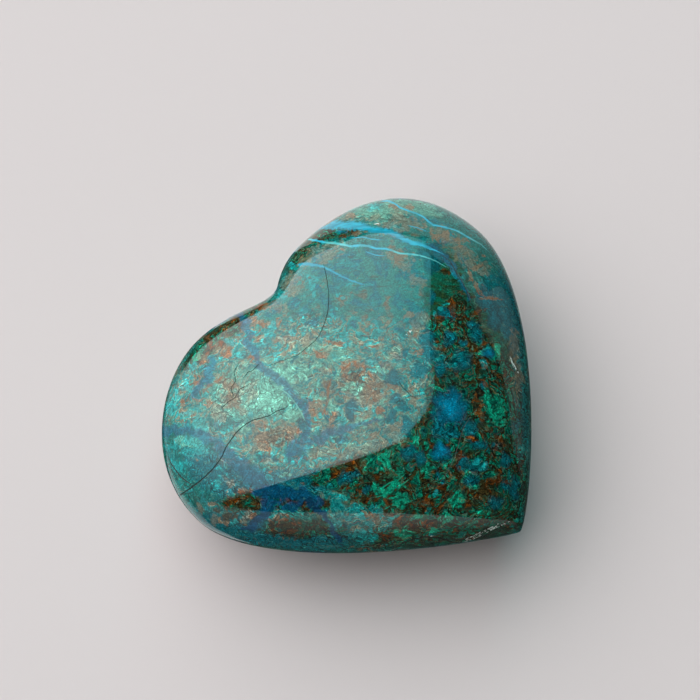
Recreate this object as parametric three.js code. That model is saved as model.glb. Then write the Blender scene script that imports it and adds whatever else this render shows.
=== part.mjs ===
// Chrysocolla heart stone: one palm-sized piece of solid stone, ground and
// polished to a puffed heart.
//
// Millimetres, +Z up. The stone lies on its back: X is its width, +Y runs from
// the tip to the lobes, and the domed front faces +Z. The origin is the middle
// of the bounding box in X and Y, on the small flat that it rests on.

import * as THREE from 'three';

// Driving dimensions
const HALF_WIDTH = 25;
const TIP_Y = -22.2;
const FRONT_RISE = 11;
const BACK_DEPTH = 10.7;
const CROWN = new THREE.Vector2(0, 3.4);

// The outline's few hand-ground landmarks. The two lobes differ slightly.
const TIP = new THREE.Vector2(0, TIP_Y);
const CLEFT = new THREE.Vector2(0.3, 18.1);

const RIGHT_LOBE = {
  side: 1,
  cleftHandle: new THREE.Vector2(1.6, 1.6),
  top: new THREE.Vector2(7.9, 21.7),
  topInward: 3.1,
  topOutward: 7.9,
  flankY: 7.2,
  flankUp: 11.8,
  flankDown: 12.1,
  tipOutward: 1.9,
};

const LEFT_LOBE = {
  side: -1,
  cleftHandle: new THREE.Vector2(1.6, 1.6),
  top: new THREE.Vector2(9.6, 22.2),
  topInward: 4.6,
  topOutward: 6.0,
  flankY: 6.5,
  flankUp: 9.6,
  flankDown: 10.5,
  tipOutward: 0.5,
};

// The dome's profile: how far it bulges between its crown and its girdle
const PROFILE_POWER = 2.4;
const HARMONIC_FADE = 0.7;
const REST_FLAT_REACH = 0.3;

// Facets of the solid
const SIDES = 96;
const FRONT_RINGS = 15;
const BACK_RINGS = 13;
const OUTLINE_STEPS = 60;

function place(lobe, x, y) {
  return new THREE.Vector2(lobe.side * x, y);
}

// The three curves of one lobe, from the cleft over the top and down the flank
function lobeCurves(lobe) {
  const cleftX = lobe.side * CLEFT.x;
  const top = place(lobe, lobe.top.x, lobe.top.y);
  const flank = place(lobe, HALF_WIDTH, lobe.flankY);
  const shoulder = new THREE.CubicBezierCurve(
    CLEFT,
    place(lobe, cleftX + lobe.cleftHandle.x, CLEFT.y + lobe.cleftHandle.y),
    place(lobe, lobe.top.x - lobe.topInward, lobe.top.y),
    top,
  );
  const cheek = new THREE.CubicBezierCurve(
    top,
    place(lobe, lobe.top.x + lobe.topOutward, lobe.top.y),
    place(lobe, HALF_WIDTH, lobe.flankY + lobe.flankUp),
    flank,
  );
  const side = new THREE.CubicBezierCurve(
    flank,
    place(lobe, HALF_WIDTH, lobe.flankY - lobe.flankDown),
    place(lobe, lobe.tipOutward, TIP_Y),
    TIP,
  );
  return [shoulder, cheek, side];
}

// Points around the outline as angle and distance, seen from the crown. One
// more point at each end carries the last stretch across the start of the turn.
function polarOutline() {
  const points = [];
  for (const lobe of [RIGHT_LOBE, LEFT_LOBE]) {
    for (const curve of lobeCurves(lobe)) {
      points.push(...curve.getPoints(OUTLINE_STEPS));
    }
  }
  const polar = points.map((point) => {
    const arm = point.clone().sub(CROWN);
    return { angle: arm.angle(), reach: arm.length() };
  });
  polar.sort((a, b) => a.angle - b.angle);
  const first = polar[0];
  const last = polar[polar.length - 1];
  const turn = 2 * Math.PI;
  return [
    { angle: last.angle - turn, reach: last.reach },
    ...polar,
    { angle: first.angle + turn, reach: first.reach },
  ];
}

// The outline's distance from the crown at any angle
function outlineReach(polar, angle) {
  const wanted = THREE.MathUtils.euclideanModulo(angle, 2 * Math.PI);
  const next = polar.findIndex((entry) => entry.angle > wanted);
  const before = polar[next - 1];
  const after = polar[next];
  const share = (wanted - before.angle) / (after.angle - before.angle);
  return THREE.MathUtils.lerp(before.reach, after.reach, share);
}

// The outline as a sum of waves around the crown. Each wave fades towards the
// crown, so the cleft and the tip melt into one smooth dome.
function outlineWaves(angles, reaches) {
  const waves = [];
  const count = angles.length;
  for (let order = 0; order <= count / 2; order += 1) {
    const single = order === 0 || order === count / 2;
    const scale = (single ? 1 : 2) / count;
    let cosine = 0;
    let sine = 0;
    for (let i = 0; i < count; i += 1) {
      cosine += scale * reaches[i] * Math.cos((order * i * 2 * Math.PI) / count);
      sine += scale * reaches[i] * Math.sin((order * i * 2 * Math.PI) / count);
    }
    waves.push({ order, cosine, sine });
  }
  return waves;
}

function fadedReach(waves, index, share) {
  let reach = 0;
  for (const wave of waves) {
    const phase = (wave.order * index * 2 * Math.PI) / SIDES;
    const fade = share ** (HARMONIC_FADE * wave.order);
    reach += fade * (wave.cosine * Math.cos(phase) + wave.sine * Math.sin(phase));
  }
  return share * reach;
}

function bulge(share) {
  return Math.sqrt(Math.max(0, 1 - share ** PROFILE_POWER));
}

// One ring of points around the stone, at a share of the way to the girdle
function ring(waves, angles, share, height) {
  return angles.map((angle, index) => {
    const reach = fadedReach(waves, index, share);
    return [CROWN.x + reach * Math.cos(angle), CROWN.y + reach * Math.sin(angle), height];
  });
}

// Rings from the front crown, over the girdle and down to the resting flat.
// The first side starts at the tip, so that the tip stays sharp.
function stoneRings() {
  const start = TIP.clone().sub(CROWN).angle();
  const angles = Array.from({ length: SIDES }, (_, i) => start + (i * 2 * Math.PI) / SIDES);
  const polar = polarOutline();
  const waves = outlineWaves(angles, angles.map((angle) => outlineReach(polar, angle)));
  const rings = [];
  for (let i = 1; i <= FRONT_RINGS; i += 1) {
    const share = Math.sin((i * Math.PI) / 2 / FRONT_RINGS);
    rings.push(ring(waves, angles, share, FRONT_RISE * bulge(share)));
  }
  const flatTurn = Math.asin(REST_FLAT_REACH);
  const backRise = BACK_DEPTH / bulge(REST_FLAT_REACH);
  for (let i = BACK_RINGS - 1; i >= 0; i -= 1) {
    const share = Math.sin(flatTurn + (i * (Math.PI / 2 - flatTurn)) / BACK_RINGS);
    rings.push(ring(waves, angles, share, -backRise * bulge(share)));
  }
  return rings;
}

function heartStoneGeometry() {
  const rings = stoneRings();
  const positions = [CROWN.x, CROWN.y, FRONT_RISE, CROWN.x, CROWN.y, -BACK_DEPTH];
  for (const points of rings) {
    for (const point of points) {
      positions.push(...point);
    }
  }
  const corner = (level, i) => 2 + level * SIDES + (i % SIDES);
  const last = rings.length - 1;
  const faces = [];
  for (let i = 0; i < SIDES; i += 1) {
    faces.push(0, corner(0, i), corner(0, i + 1));
    faces.push(1, corner(last, i + 1), corner(last, i));
    for (let level = 0; level < last; level += 1) {
      faces.push(corner(level, i), corner(level + 1, i), corner(level + 1, i + 1));
      faces.push(corner(level, i), corner(level + 1, i + 1), corner(level, i + 1));
    }
  }
  const geometry = new THREE.BufferGeometry();
  geometry.setAttribute('position', new THREE.Float32BufferAttribute(positions, 3));
  geometry.setIndex(faces);
  geometry.computeBoundingBox();
  const middle = geometry.boundingBox.getCenter(new THREE.Vector3());
  geometry.translate(-middle.x, -middle.y, BACK_DEPTH);
  geometry.computeVertexNormals();
  return geometry;
}

// Polished chrysocolla: deep teal with a wet-looking gloss
const polishedStone = new THREE.MeshStandardMaterial({
  color: 0x1f6f70,
  roughness: 0.12,
  metalness: 0,
});

const heartStone = new THREE.Mesh(heartStoneGeometry(), polishedStone);
heartStone.name = 'heart_stone';

const part = new THREE.Group();
part.add(heartStone);

export default part;
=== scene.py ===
# Chrysocolla heart stone: the polished stone with its markings, and its studio.
#
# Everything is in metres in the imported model's frame, with +Z up. The stone's own
# shape and markings are worked out in millimetres, as a lapidary would size them.

import math

import bpy
import numpy as np
from mathutils import Matrix, Vector


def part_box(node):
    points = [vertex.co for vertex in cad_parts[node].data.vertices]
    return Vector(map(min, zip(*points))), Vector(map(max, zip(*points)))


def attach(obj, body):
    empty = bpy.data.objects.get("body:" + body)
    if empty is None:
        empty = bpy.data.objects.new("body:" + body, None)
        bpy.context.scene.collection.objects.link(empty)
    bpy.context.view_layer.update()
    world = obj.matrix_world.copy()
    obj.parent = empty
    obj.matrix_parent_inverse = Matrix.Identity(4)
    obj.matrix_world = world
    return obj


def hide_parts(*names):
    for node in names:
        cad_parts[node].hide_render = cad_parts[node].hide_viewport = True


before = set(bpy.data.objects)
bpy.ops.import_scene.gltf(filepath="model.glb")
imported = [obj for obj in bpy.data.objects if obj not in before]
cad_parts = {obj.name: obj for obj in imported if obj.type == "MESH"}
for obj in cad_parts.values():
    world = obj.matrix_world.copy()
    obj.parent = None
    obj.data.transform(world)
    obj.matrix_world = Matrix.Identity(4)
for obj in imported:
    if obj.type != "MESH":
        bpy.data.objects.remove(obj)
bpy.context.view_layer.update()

bl_info = {
    "name": "Chrysocolla heart stone",
    "version": (1, 0, 0),
    "blender": (4, 5, 0),
    "location": "View3D > Sidebar > Heart stone",
    "description": "Makes a polished chrysocolla heart and a soft studio for it",
    "category": "Add Mesh",
}

MM = 0.001
NODE = "heart_stone"
SLOT = "polished_chrysocolla"
PIECE = "chrysocolla_heart"

# The outline, in millimetres: the stone's middle is 0, 0 and the girdle is its widest level
TIP = (0.0, -22.2)
CLEFT = (0.3, 18.1)
CROWN = (0.0, 3.4)
RIGHT_LOBE = {
    "side": 1,
    "cleft_handle": (1.6, 1.6),
    "top": (7.9, 21.7),
    "top_inward": 3.1,
    "top_outward": 7.9,
    "flank_y": 7.2,
    "flank_up": 11.8,
    "flank_down": 12.1,
    "tip_outward": 1.9,
}
LEFT_LOBE = {
    "side": -1,
    "cleft_handle": (1.6, 1.6),
    "top": (9.6, 22.2),
    "top_inward": 4.6,
    "top_outward": 6.0,
    "flank_y": 6.5,
    "flank_up": 9.6,
    "flank_down": 10.5,
    "tip_outward": 0.5,
}
CURVE_STEPS = 400
OUTLINE_SIDES = 360
# How fast the outline's waves fade towards the crown
HARMONIC_FADE = 0.7

# Millimetres between the mesh's points: in front, in the middle of the back, and how
# far from the girdle the back takes to get there
FRONT_SPACING = 0.174
BACK_SPACING = 0.37
BACK_COARSENING = 6.0
MEAN_REACH = 23.0
PROFILE_SAMPLES = 20001
# The girdle's length against a circle of the same mean reach
GIRDLE_STRETCH = 1.03
FEWEST_SIDES = 6

# The view that places the markings: degrees, millimetres, and pixels of the picture
VIEW_AZIMUTH = -47.07
VIEW_ELEVATION = 70.0
VIEW_DISTANCE = 320.0
VIEW_SCALE = 8.3
VIEW_PIXEL = (362.0, 392.0)
PICTURE_SIDE = 700.0
SENSOR_WIDTH = 36.0
CLIP_RANGE = (0.01, 50.0)


def linear(value):
    """A screen value, 0 to 255, as the linear share that the shader takes."""
    share = value / 255
    return share / 12.92 if share <= 0.04045 else ((share + 0.055) / 1.055) ** 2.4


def length(name, description, millimetres):
    return bpy.props.FloatProperty(
        name=name,
        description=description,
        default=millimetres * MM,
        unit="LENGTH",
        precision=4,
    )


def number(name, description, value, subtype="NONE"):
    return bpy.props.FloatProperty(
        name=name, description=description, default=value, subtype=subtype
    )


def colour(name, description, screen):
    return bpy.props.FloatVectorProperty(
        name=name,
        description=description,
        default=tuple(linear(value) for value in screen),
        subtype="COLOR",
        size=3,
        min=0,
        max=1,
    )


class StoneSizes(bpy.types.PropertyGroup):
    """Sizes of the stone."""

    half_width: length("Half width", "From the middle of the stone to either flank", 25)
    front_rise: length("Front rise", "How far the front dome rises above the girdle", 11)
    back_depth: length("Back depth", "How far the back dome falls below the girdle", 10.7)
    profile_power: number(
        "Profile power", "Two gives an ellipse; more gives a flatter crown and a fuller rim", 2.32
    )
    resting_flat: number(
        "Resting flat", "Share of the back's reach that is ground flat to rest on", 0.3, "FACTOR"
    )


class StoneColours(bpy.types.PropertyGroup):
    """Colours of the stone's minerals."""

    teal: colour("Teal", "The stone's main body colour", (9, 102, 95))
    dark_teal: colour("Dark teal", "Depths of the body colour", (7, 62, 54))
    calm: colour("Calm", "Even grey-teal of one lobe", (34, 108, 100))
    dusk: colour("Dusk", "Dull teal-blue wash", (6, 82, 94))
    olive: colour("Olive", "Dark green-brown matrix", (32, 50, 18))
    tan: colour("Tan", "Pale grey-brown clay", (124, 106, 82))
    mint: colour("Mint", "Pale green pools", (94, 160, 138))
    green: colour("Green", "Clear green patches", (8, 140, 108))
    aqua: colour("Aqua", "Bright turquoise patches", (18, 144, 142))
    blue: colour("Blue", "Bright round blue spots", (0, 112, 140))
    dim_blue: colour("Dim blue", "Blue-green round spots", (2, 84, 92))
    deep_blue: colour("Deep blue", "Darkest blue", (2, 56, 84))
    slate: colour("Slate", "Dull blue bands", (12, 84, 106))
    sky: colour("Sky", "Bright blue veins", (40, 165, 190))
    ice: colour("Ice", "Thin pale turquoise veins", (92, 180, 178))
    brown: colour("Brown", "Dark iron stains", (60, 44, 14))
    rust: colour("Rust", "Orange iron stains", (143, 72, 10))
    # The white of the chipped spots, which is also painted glint: it stands in for the sparkle of light
    # on them
    chip_glint_white: colour("Chalk", "Chipped edges", (210, 220, 212))


class StudioSettings(bpy.types.PropertyGroup):
    """The floor and the lights."""

    floor: colour("Floor", "Plain pale floor", (207, 190, 188))
    softbox: number("Softbox", "Brightness of the large softbox behind the stone", 2.4)
    front_card: number("Front card", "Brightness of the low card in front", 0.64)
    side_card: number("Side card", "Brightness of the low card at the right", 0.44)
    left_card: number("Left card", "Brightness of the small card low at the left", 0.9)
    back_card: number("Back card", "Brightness of the low card behind the stone", 0.8)


def bezier(start, first, second, end):
    share = np.linspace(0, 1, CURVE_STEPS)[:, None]
    start, first, second, end = (np.array(point) for point in (start, first, second, end))
    return (
        (1 - share) ** 3 * start
        + 3 * (1 - share) ** 2 * share * first
        + 3 * (1 - share) * share**2 * second
        + share**3 * end
    )


def lobe_points(lobe, half_width):
    """One lobe's outline from the cleft over the top and down to the tip."""
    side = lobe["side"]
    top_x, top_y = lobe["top"]
    handle_x, handle_y = lobe["cleft_handle"]
    flank_y = lobe["flank_y"]
    top = (side * top_x, top_y)
    flank = (side * half_width, flank_y)
    shoulder = bezier(
        CLEFT,
        (side * (side * CLEFT[0] + handle_x), CLEFT[1] + handle_y),
        (side * (top_x - lobe["top_inward"]), top_y),
        top,
    )
    cheek = bezier(
        top,
        (side * (top_x + lobe["top_outward"]), top_y),
        (side * half_width, flank_y + lobe["flank_up"]),
        flank,
    )
    lower = bezier(
        flank,
        (side * half_width, flank_y - lobe["flank_down"]),
        (side * lobe["tip_outward"], TIP[1]),
        TIP,
    )
    return np.concatenate([shoulder, cheek, lower])


def outline_waves(half_width):
    """The outline's distance from the crown as waves, counted from the tip."""
    points = np.concatenate([lobe_points(lobe, half_width) for lobe in (RIGHT_LOBE, LEFT_LOBE)])
    arms = points - np.array(CROWN)
    angles = np.arctan2(arms[:, 1], arms[:, 0]) % math.tau
    reaches = np.hypot(arms[:, 0], arms[:, 1])
    order = np.argsort(angles)
    start = math.atan2(TIP[1] - CROWN[1], TIP[0] - CROWN[0])
    wanted = (start + np.arange(OUTLINE_SIDES) * math.tau / OUTLINE_SIDES) % math.tau
    sampled = np.interp(wanted, angles[order], reaches[order], period=math.tau)
    return start, np.fft.rfft(sampled) / OUTLINE_SIDES


def ring_points(start, waves, share, count):
    """One ring at a share of the way from the crown to the girdle."""
    turns = np.arange(count) * math.tau / count
    orders = np.arange(len(waves))
    weights = waves * share ** (HARMONIC_FADE * orders)
    weights[1:-1] *= 2
    reach = share * (np.exp(1j * np.outer(turns, orders)) @ weights).real
    along_x = CROWN[0] + reach * np.cos(start + turns)
    along_y = CROWN[1] + reach * np.sin(start + turns)
    return np.stack([along_x, along_y, np.zeros(count)], axis=1)


def even_shares(rise, power, spacing, first, coarsening=0.0):
    """Shares from the girdle inwards whose rings lie evenly along the dome."""
    share = np.linspace(1, first, PROFILE_SAMPLES)
    height = rise * np.sqrt(np.maximum(0, 1 - share**power))
    steps = np.hypot(np.diff(share) * MEAN_REACH, np.diff(height))
    along = np.concatenate([[0], np.cumsum(steps)])
    stops = [0.0]
    while stops[-1] < along[-1]:
        growth = min(1, stops[-1] / coarsening) if coarsening else 1
        stops.append(stops[-1] + FRONT_SPACING + (spacing - FRONT_SPACING) * growth)
    stops = np.array(stops) * along[-1] / stops[-1]
    return np.interp(stops, along, share), np.gradient(stops)


def stitch(inner, outer):
    """Triangles between two rings with any numbers of points."""
    faces = []
    i = j = 0
    inside, outside = len(inner), len(outer)
    while i < inside or j < outside:
        a, b = inner[i % inside], outer[j % outside]
        if j * inside <= i * outside and j < outside:
            j += 1
            faces.append((a, b, outer[j % outside]))
        else:
            i += 1
            faces.append((a, b, inner[i % inside]))
    return faces


def ring_sizes(waves, shares, steps):
    around = math.tau * waves[0].real * GIRDLE_STRETCH
    return [max(FEWEST_SIDES, round(around * share / step)) for share, step in zip(shares, steps)]


def flat_rings(sizes):
    """The stone before it is domed: two flat sheets of rings joined at the girdle."""
    start, waves = outline_waves(sizes.half_width / MM)
    power = sizes.profile_power
    flat = sizes.resting_flat
    back_rise = sizes.back_depth / MM / math.sqrt(1 - flat**power)
    points = []
    share_of = []
    front_of = []
    faces = []

    def add_ring(share, count, front):
        first = len(share_of)
        points.append(ring_points(start, waves, share, count))
        share_of.extend([share] * count)
        front_of.extend([front] * count)
        return list(range(first, first + count))

    def close_sheet(ring, front):
        centre = len(share_of)
        points.append(np.array([[*CROWN, 0.0]]))
        share_of.append(0.0)
        front_of.append(front)
        for corner, after in zip(ring, ring[1:] + ring[:1]):
            faces.append((centre, corner, after) if front else (centre, after, corner))

    shares, steps = even_shares(sizes.front_rise / MM, power, FRONT_SPACING, 0)
    counts = ring_sizes(waves, shares[:-1], steps[:-1])
    girdle = add_ring(1.0, counts[0], 1.0)
    outer = girdle
    for share, count in zip(shares[1:-1], counts[1:]):
        inner = add_ring(share, count, 1.0)
        faces.extend(stitch(inner, outer))
        outer = inner
    close_sheet(outer, 1.0)

    shares, steps = even_shares(back_rise, power, BACK_SPACING, flat, BACK_COARSENING)
    flat_count = max(2, round(flat * MEAN_REACH / BACK_SPACING))
    shares = np.concatenate([shares, np.linspace(flat, 0, flat_count + 1)[1:-1]])
    steps = np.concatenate([steps, [BACK_SPACING] * (flat_count - 1)])
    counts = ring_sizes(waves, shares, steps)
    outer = girdle
    for share, count in zip(shares[1:], counts[1:]):
        inner = add_ring(share, count, 0.0)
        faces.extend((a, c, b) for a, b, c in stitch(inner, outer))
        outer = inner
    close_sheet(outer, 0.0)
    return np.concatenate(points), share_of, front_of, faces


def pick(sockets, key):
    """The socket with that identifier, or else the shown one with that name."""
    for socket in sockets:
        if socket.identifier == key:
            return socket
    for socket in sockets:
        if socket.name == key and socket.enabled:
            return socket
    raise KeyError(key)


class Wiring:
    """Adds nodes to one tree and joins them."""

    def __init__(self, tree):
        self.tree = tree
        self.tree.nodes.clear()

    def add(self, kind, output, inputs=None, **settings):
        node = self.tree.nodes.new(kind)
        for name, value in settings.items():
            setattr(node, name, value)
        for key, value in (inputs or {}).items():
            socket = pick(node.inputs, key)
            if isinstance(value, bpy.types.NodeSocket):
                self.tree.links.new(value, socket)
            else:
                socket.default_value = value
        return pick(node.outputs, output) if output else node

    def math(self, operation, first, second=0.0, third=0.0):
        inputs = {"Value": first, "Value_001": second, "Value_002": third}
        return self.add("ShaderNodeMath", "Value", inputs, operation=operation)

    def times(self, first, second):
        return self.math("MULTIPLY", first, second)

    def vector(self, operation, first, second=None, output="Vector"):
        """Vector maths, where SCALE takes a number and the others a vector."""
        inputs = {"Vector": first}
        if second is not None:
            inputs["Scale" if operation == "SCALE" else "Vector_001"] = second
        return self.add("ShaderNodeVectorMath", output, inputs, operation=operation)

    def noise(self, place, scale, detail=2.0, roughness=0.5, output="Fac"):
        inputs = {"Vector": place, "Scale": scale, "Detail": detail, "Roughness": roughness}
        return self.add("ShaderNodeTexNoise", output, inputs)

    def ramp(self, value, low, high, to_low=0.0, to_high=1.0):
        """Eases from one share to another while the value goes from low to high."""
        inputs = {
            "Value": value,
            "From Min": low,
            "From Max": high,
            "To Min": to_low,
            "To Max": to_high,
        }
        settings = {"interpolation_type": "SMOOTHSTEP"}
        return self.add("ShaderNodeMapRange", "Result", inputs, **settings)

    def mix(self, share, first, second):
        inputs = {"Factor_Float": share, "A_Color": first, "B_Color": second}
        return self.add("ShaderNodeMix", "Result_Color", inputs, data_type="RGBA")

    def field(self, name):
        settings = {"attribute_type": "GEOMETRY", "attribute_name": name}
        return self.add("ShaderNodeAttribute", "Fac", **settings)


def doming_tree():
    """Lifts the flat rings to the two domes, from each point's share of the reach."""
    tree = bpy.data.node_groups.new("Dome the stone", "GeometryNodeTree")
    face = tree.interface
    face.new_socket("Geometry", in_out="INPUT", socket_type="NodeSocketGeometry")
    for name in ("Front rise", "Back depth", "Profile power", "Resting flat", "Girdle height"):
        face.new_socket(name, in_out="INPUT", socket_type="NodeSocketFloat")
    face.new_socket("Material", in_out="INPUT", socket_type="NodeSocketMaterial")
    face.new_socket("Geometry", in_out="OUTPUT", socket_type="NodeSocketGeometry")
    wires = Wiring(tree)
    given = wires.add("NodeGroupInput", None).outputs
    kind = "GeometryNodeInputNamedAttribute"
    share = wires.add(kind, "Attribute", {"Name": "share"}, data_type="FLOAT")
    front = wires.add(kind, "Attribute", {"Name": "front"}, data_type="FLOAT")

    def bulge(of):
        raised = wires.math("POWER", of, given["Profile power"])
        left = wires.math("MAXIMUM", wires.math("SUBTRACT", 1.0, raised), 0.0)
        return wires.math("SQRT", left)

    rise = wires.times(given["Front rise"], bulge(share))
    held = wires.math("MAXIMUM", share, given["Resting flat"])
    fall = wires.math("DIVIDE", bulge(held), bulge(given["Resting flat"]))
    fall = wires.times(fall, given["Back depth"])
    fall = wires.times(fall, wires.math("SUBTRACT", front, 1.0))
    height = wires.math("MULTIPLY_ADD", rise, front, fall)
    height = wires.math("ADD", height, given["Girdle height"])
    offset = wires.add("ShaderNodeCombineXYZ", "Vector", {"Z": height})
    geometry = given["Geometry"]
    for kind, inputs in (
        ("GeometryNodeSetPosition", {"Offset": offset}),
        ("GeometryNodeSetShadeSmooth", {}),
        ("GeometryNodeRealizeInstances", {}),
        ("GeometryNodeSetMaterial", {"Material": given["Material"]}),
    ):
        geometry = wires.add(kind, "Geometry", {"Geometry": geometry, **inputs})
    wires.add("NodeGroupOutput", None, {"Geometry": geometry})
    return tree


def domed_stone(sizes, material):
    """The stone's plain mesh, domed by the node tree and then baked."""
    points, share_of, front_of, faces = flat_rings(sizes)
    middle = (points.min(axis=0) + points.max(axis=0)) / 2
    cad_low, cad_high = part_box(NODE)
    cad_middle = (cad_low + cad_high) / 2
    placed = (points - middle) * MM + np.array([cad_middle.x, cad_middle.y, 0])
    flat = bpy.data.meshes.new("flat_heart")
    flat.from_pydata(placed.tolist(), [], faces)
    for name, values in (("share", share_of), ("front", front_of)):
        flat.attributes.new(name, "FLOAT", "POINT").data.foreach_set("value", values)
    blank = bpy.data.objects.new("flat_heart", flat)
    bpy.context.collection.objects.link(blank)
    tree = doming_tree()
    modifier = blank.modifiers.new("Doming", "NODES")
    modifier.node_group = tree
    inputs = {
        "Front rise": sizes.front_rise,
        "Back depth": sizes.back_depth,
        "Profile power": sizes.profile_power,
        "Resting flat": sizes.resting_flat,
        "Girdle height": sizes.back_depth,
        "Material": material,
    }
    for item in tree.interface.items_tree:
        if item.in_out == "INPUT" and item.name in inputs:
            modifier[item.identifier] = inputs[item.name]
    bpy.context.view_layer.update()
    graph = bpy.context.evaluated_depsgraph_get()
    mesh = bpy.data.meshes.new_from_object(blank.evaluated_get(graph), depsgraph=graph)
    bpy.data.objects.remove(blank)
    bpy.data.meshes.remove(flat)
    bpy.data.node_groups.remove(tree)
    return mesh


# The markings. Patches are x, y, half width and half height in picture pixels, then a
# turn in degrees where the patch leans. Lines are points of x, y and half width.
SKY_VEINS = (
    ((312, 228, 1.6), (318, 227, 2.6), (326, 225, 3.5), (334, 224.5, 3.9), (345, 225, 3.9),
     (355, 225.5, 3.8), (365, 227.5, 3.4), (373, 230, 2.7), (381, 231, 2.6), (390, 232, 2.9),
     (397, 235, 2.5), (404, 239.5, 2.2), (411, 242.5, 2.2), (419, 244, 2), (427, 247, 1.4),
     (435, 250, 0.8), (443, 254, 0.3)),
    ((300, 264.5, 1.6), (307, 264, 1.4), (315, 265, 1.2), (323, 266.5, 1), (330, 270, 0.9),
     (337, 274, 0.9), (343, 277, 0.8), (352, 281, 0.8), (362, 284, 0.7)),
    ((352, 238, 0.5), (362, 237, 0.5), (372, 239, 0.6), (380, 240, 0.5)),
    ((368, 252.5, 0.6), (376, 255, 0.6), (384, 256, 0.4)),
    ((410, 226, 0.5), (418, 228, 0.5), (426, 231, 0.5)),
)
ICE_VEINS = (
    ((305, 238.5, 1), (313, 240, 1), (321, 241.5, 1), (329, 243, 1.2), (337, 243.5, 1.2), (345, 245, 1),
     (352, 246.5, 1.2), (360, 245.2, 1.3), (368, 246, 1.2), (376, 248.5, 1.1), (385, 248.5, 0.9),
     (392, 250.5, 0.9), (400, 253.5, 0.9), (410, 254, 0.8), (420, 255.5, 0.8), (430, 258.5, 0.6),
     (438, 262, 0.5), (446, 267, 0.3)),
    ((380, 200.5, 0.9), (388, 201, 0.9), (394, 203, 0.8), (400, 207.5, 0.8), (409, 211, 0.8),
     (418, 214, 0.8), (424, 217.5, 0.8), (429, 222, 0.9), (433, 225, 0.8), (440, 226.2, 0.8),
     (448, 228, 0.8), (455, 230, 0.8), (462, 233.5, 0.8), (468, 237, 0.8), (474, 240.5, 0.7),
     (481, 244.5, 0.6), (487, 250, 0.3)),
)
PALE_LINES = (
    ((276, 386, 0.4), (288, 394, 0.6), (296, 404, 0.6), (301, 412, 0.6), (304, 419, 0.6)),
    ((376, 497, 0.4), (384, 495, 0.7), (391, 489, 0.6), (399, 487, 0.8), (408, 480, 0.4)),
    ((382, 488, 0.4), (389, 483, 0.6), (397, 481, 0.6), (404, 475, 0.4)),
)
RUST_LINES = (
    ((203, 391, 1.2), (209, 386, 1.6), (217, 382, 1.6), (223, 377, 1.6), (228, 371, 1.4)),
    ((331, 380, 0.8), (328, 388, 1), (328, 396, 1.2), (327, 405, 1.2), (323, 414, 1)),
    ((468, 268, 0.3), (473, 283, 0.4), (479, 294, 0.6), (488, 298, 0.6), (502, 299.5, 0.4)),
    ((250, 300, 0.7), (258, 306, 1), (268, 304, 0.8), (276, 300, 0.6)),
)
CRACKS = (
    ((180, 495, 0.6), (183.6, 493, 1.1), (191, 488, 1.1), (199, 482, 1.1), (206, 476, 1.1),
     (212, 470, 1.1), (217, 464, 1), (222, 457, 0.9), (226, 447, 0.7), (231, 440, 0.8), (236, 433, 0.8),
     (241, 428, 0.8), (247, 423.5, 0.8), (252, 420.5, 0.7), (257, 419, 0.7), (269, 416, 0.6),
     (277, 411, 0.6), (283, 409, 0.5), (288, 406, 0.3)),
    ((169, 459, 0.5), (172, 465, 0.8), (177, 472, 1), (181, 477, 1), (186, 481, 0.8), (191, 484, 0.5)),
    ((324, 266, 0.3), (325, 270, 0.4), (327.5, 282, 0.45), (329, 295, 0.5), (328.6, 305, 0.5),
     (327.5, 314, 0.5), (324, 325, 0.5), (319.5, 335, 0.45), (315, 341, 0.4), (310, 345, 0.4),
     (304, 350, 0.4), (298, 355, 0.35), (290, 358, 0.3), (281, 361, 0.3), (271, 365, 0.3)),
    ((443, 256, 0.3), (450, 261, 0.5), (457, 273, 0.6), (463, 283, 0.6), (467, 291, 0.6),
     (471, 303, 0.4)),
    ((400, 383, 0.5), (403, 388, 0.5), (407, 391, 0.5), (411, 396, 0.5), (416, 398, 0.4)),
    ((245, 376, 0.5), (248, 372, 0.6), (252, 371, 0.5), (258, 365, 0.5)),
    ((238, 365, 0.4), (234, 372, 0.6), (236, 381, 0.5), (231, 388, 0.5), (233, 395, 0.5)),
    ((222, 408, 0.4), (228, 402, 0.5), (235, 398, 0.5), (240, 389, 0.5), (248, 385, 0.4)),
    ((498, 380, 0.4), (503, 388, 0.6), (508, 398, 0.6), (511, 408, 0.5)),
    ((482, 425, 0.5), (489, 431, 0.7), (496, 434, 0.7), (503, 430, 0.5)),
    ((160, 385, 0.4), (170, 386.5, 0.6), (176, 384, 0.4)),
    ((470, 417, 0.4), (463, 428, 0.6), (459, 442, 0.6), (454, 458, 0.6), (447, 472, 0.6),
     (438, 485, 0.4)),
    ((392, 548, 0.5), (403, 543, 0.8), (414, 539, 0.9), (426, 537, 0.9), (438, 538, 0.8), (450, 541, 0.7),
     (462, 545, 0.5)),
    ((464, 544, 0.4), (474, 541, 0.6), (484, 536.5, 0.6), (496, 530.5, 0.6), (509, 525, 0.4)),
)
# Chipped spots and pits, painted white: real chips with a painted highlight standing in for their glints
CHIPS_AND_GLINTS = (
    ((459, 543, 0.3), (466, 541.5, 0.5), (473, 539, 0.5), (481, 535, 0.45), (489, 531, 0.45),
     (498, 526.5, 0.5), (508, 522.5, 0.4)),
    ((466, 539, 0.25), (474, 535.5, 0.35), (482, 531.5, 0.35), (490, 528, 0.3), (498, 524, 0.3)),
    ((511, 359, 0.8), (513, 364, 1.1), (515, 368, 0.9), (518, 372, 0.6)),
    ((408, 333, 0.7), (410, 331.5, 1)),
    ((376, 224, 0.6), (378, 224, 0.6)),
    ((429, 536, 0.5), (431, 536, 0.5)),
)
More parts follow.
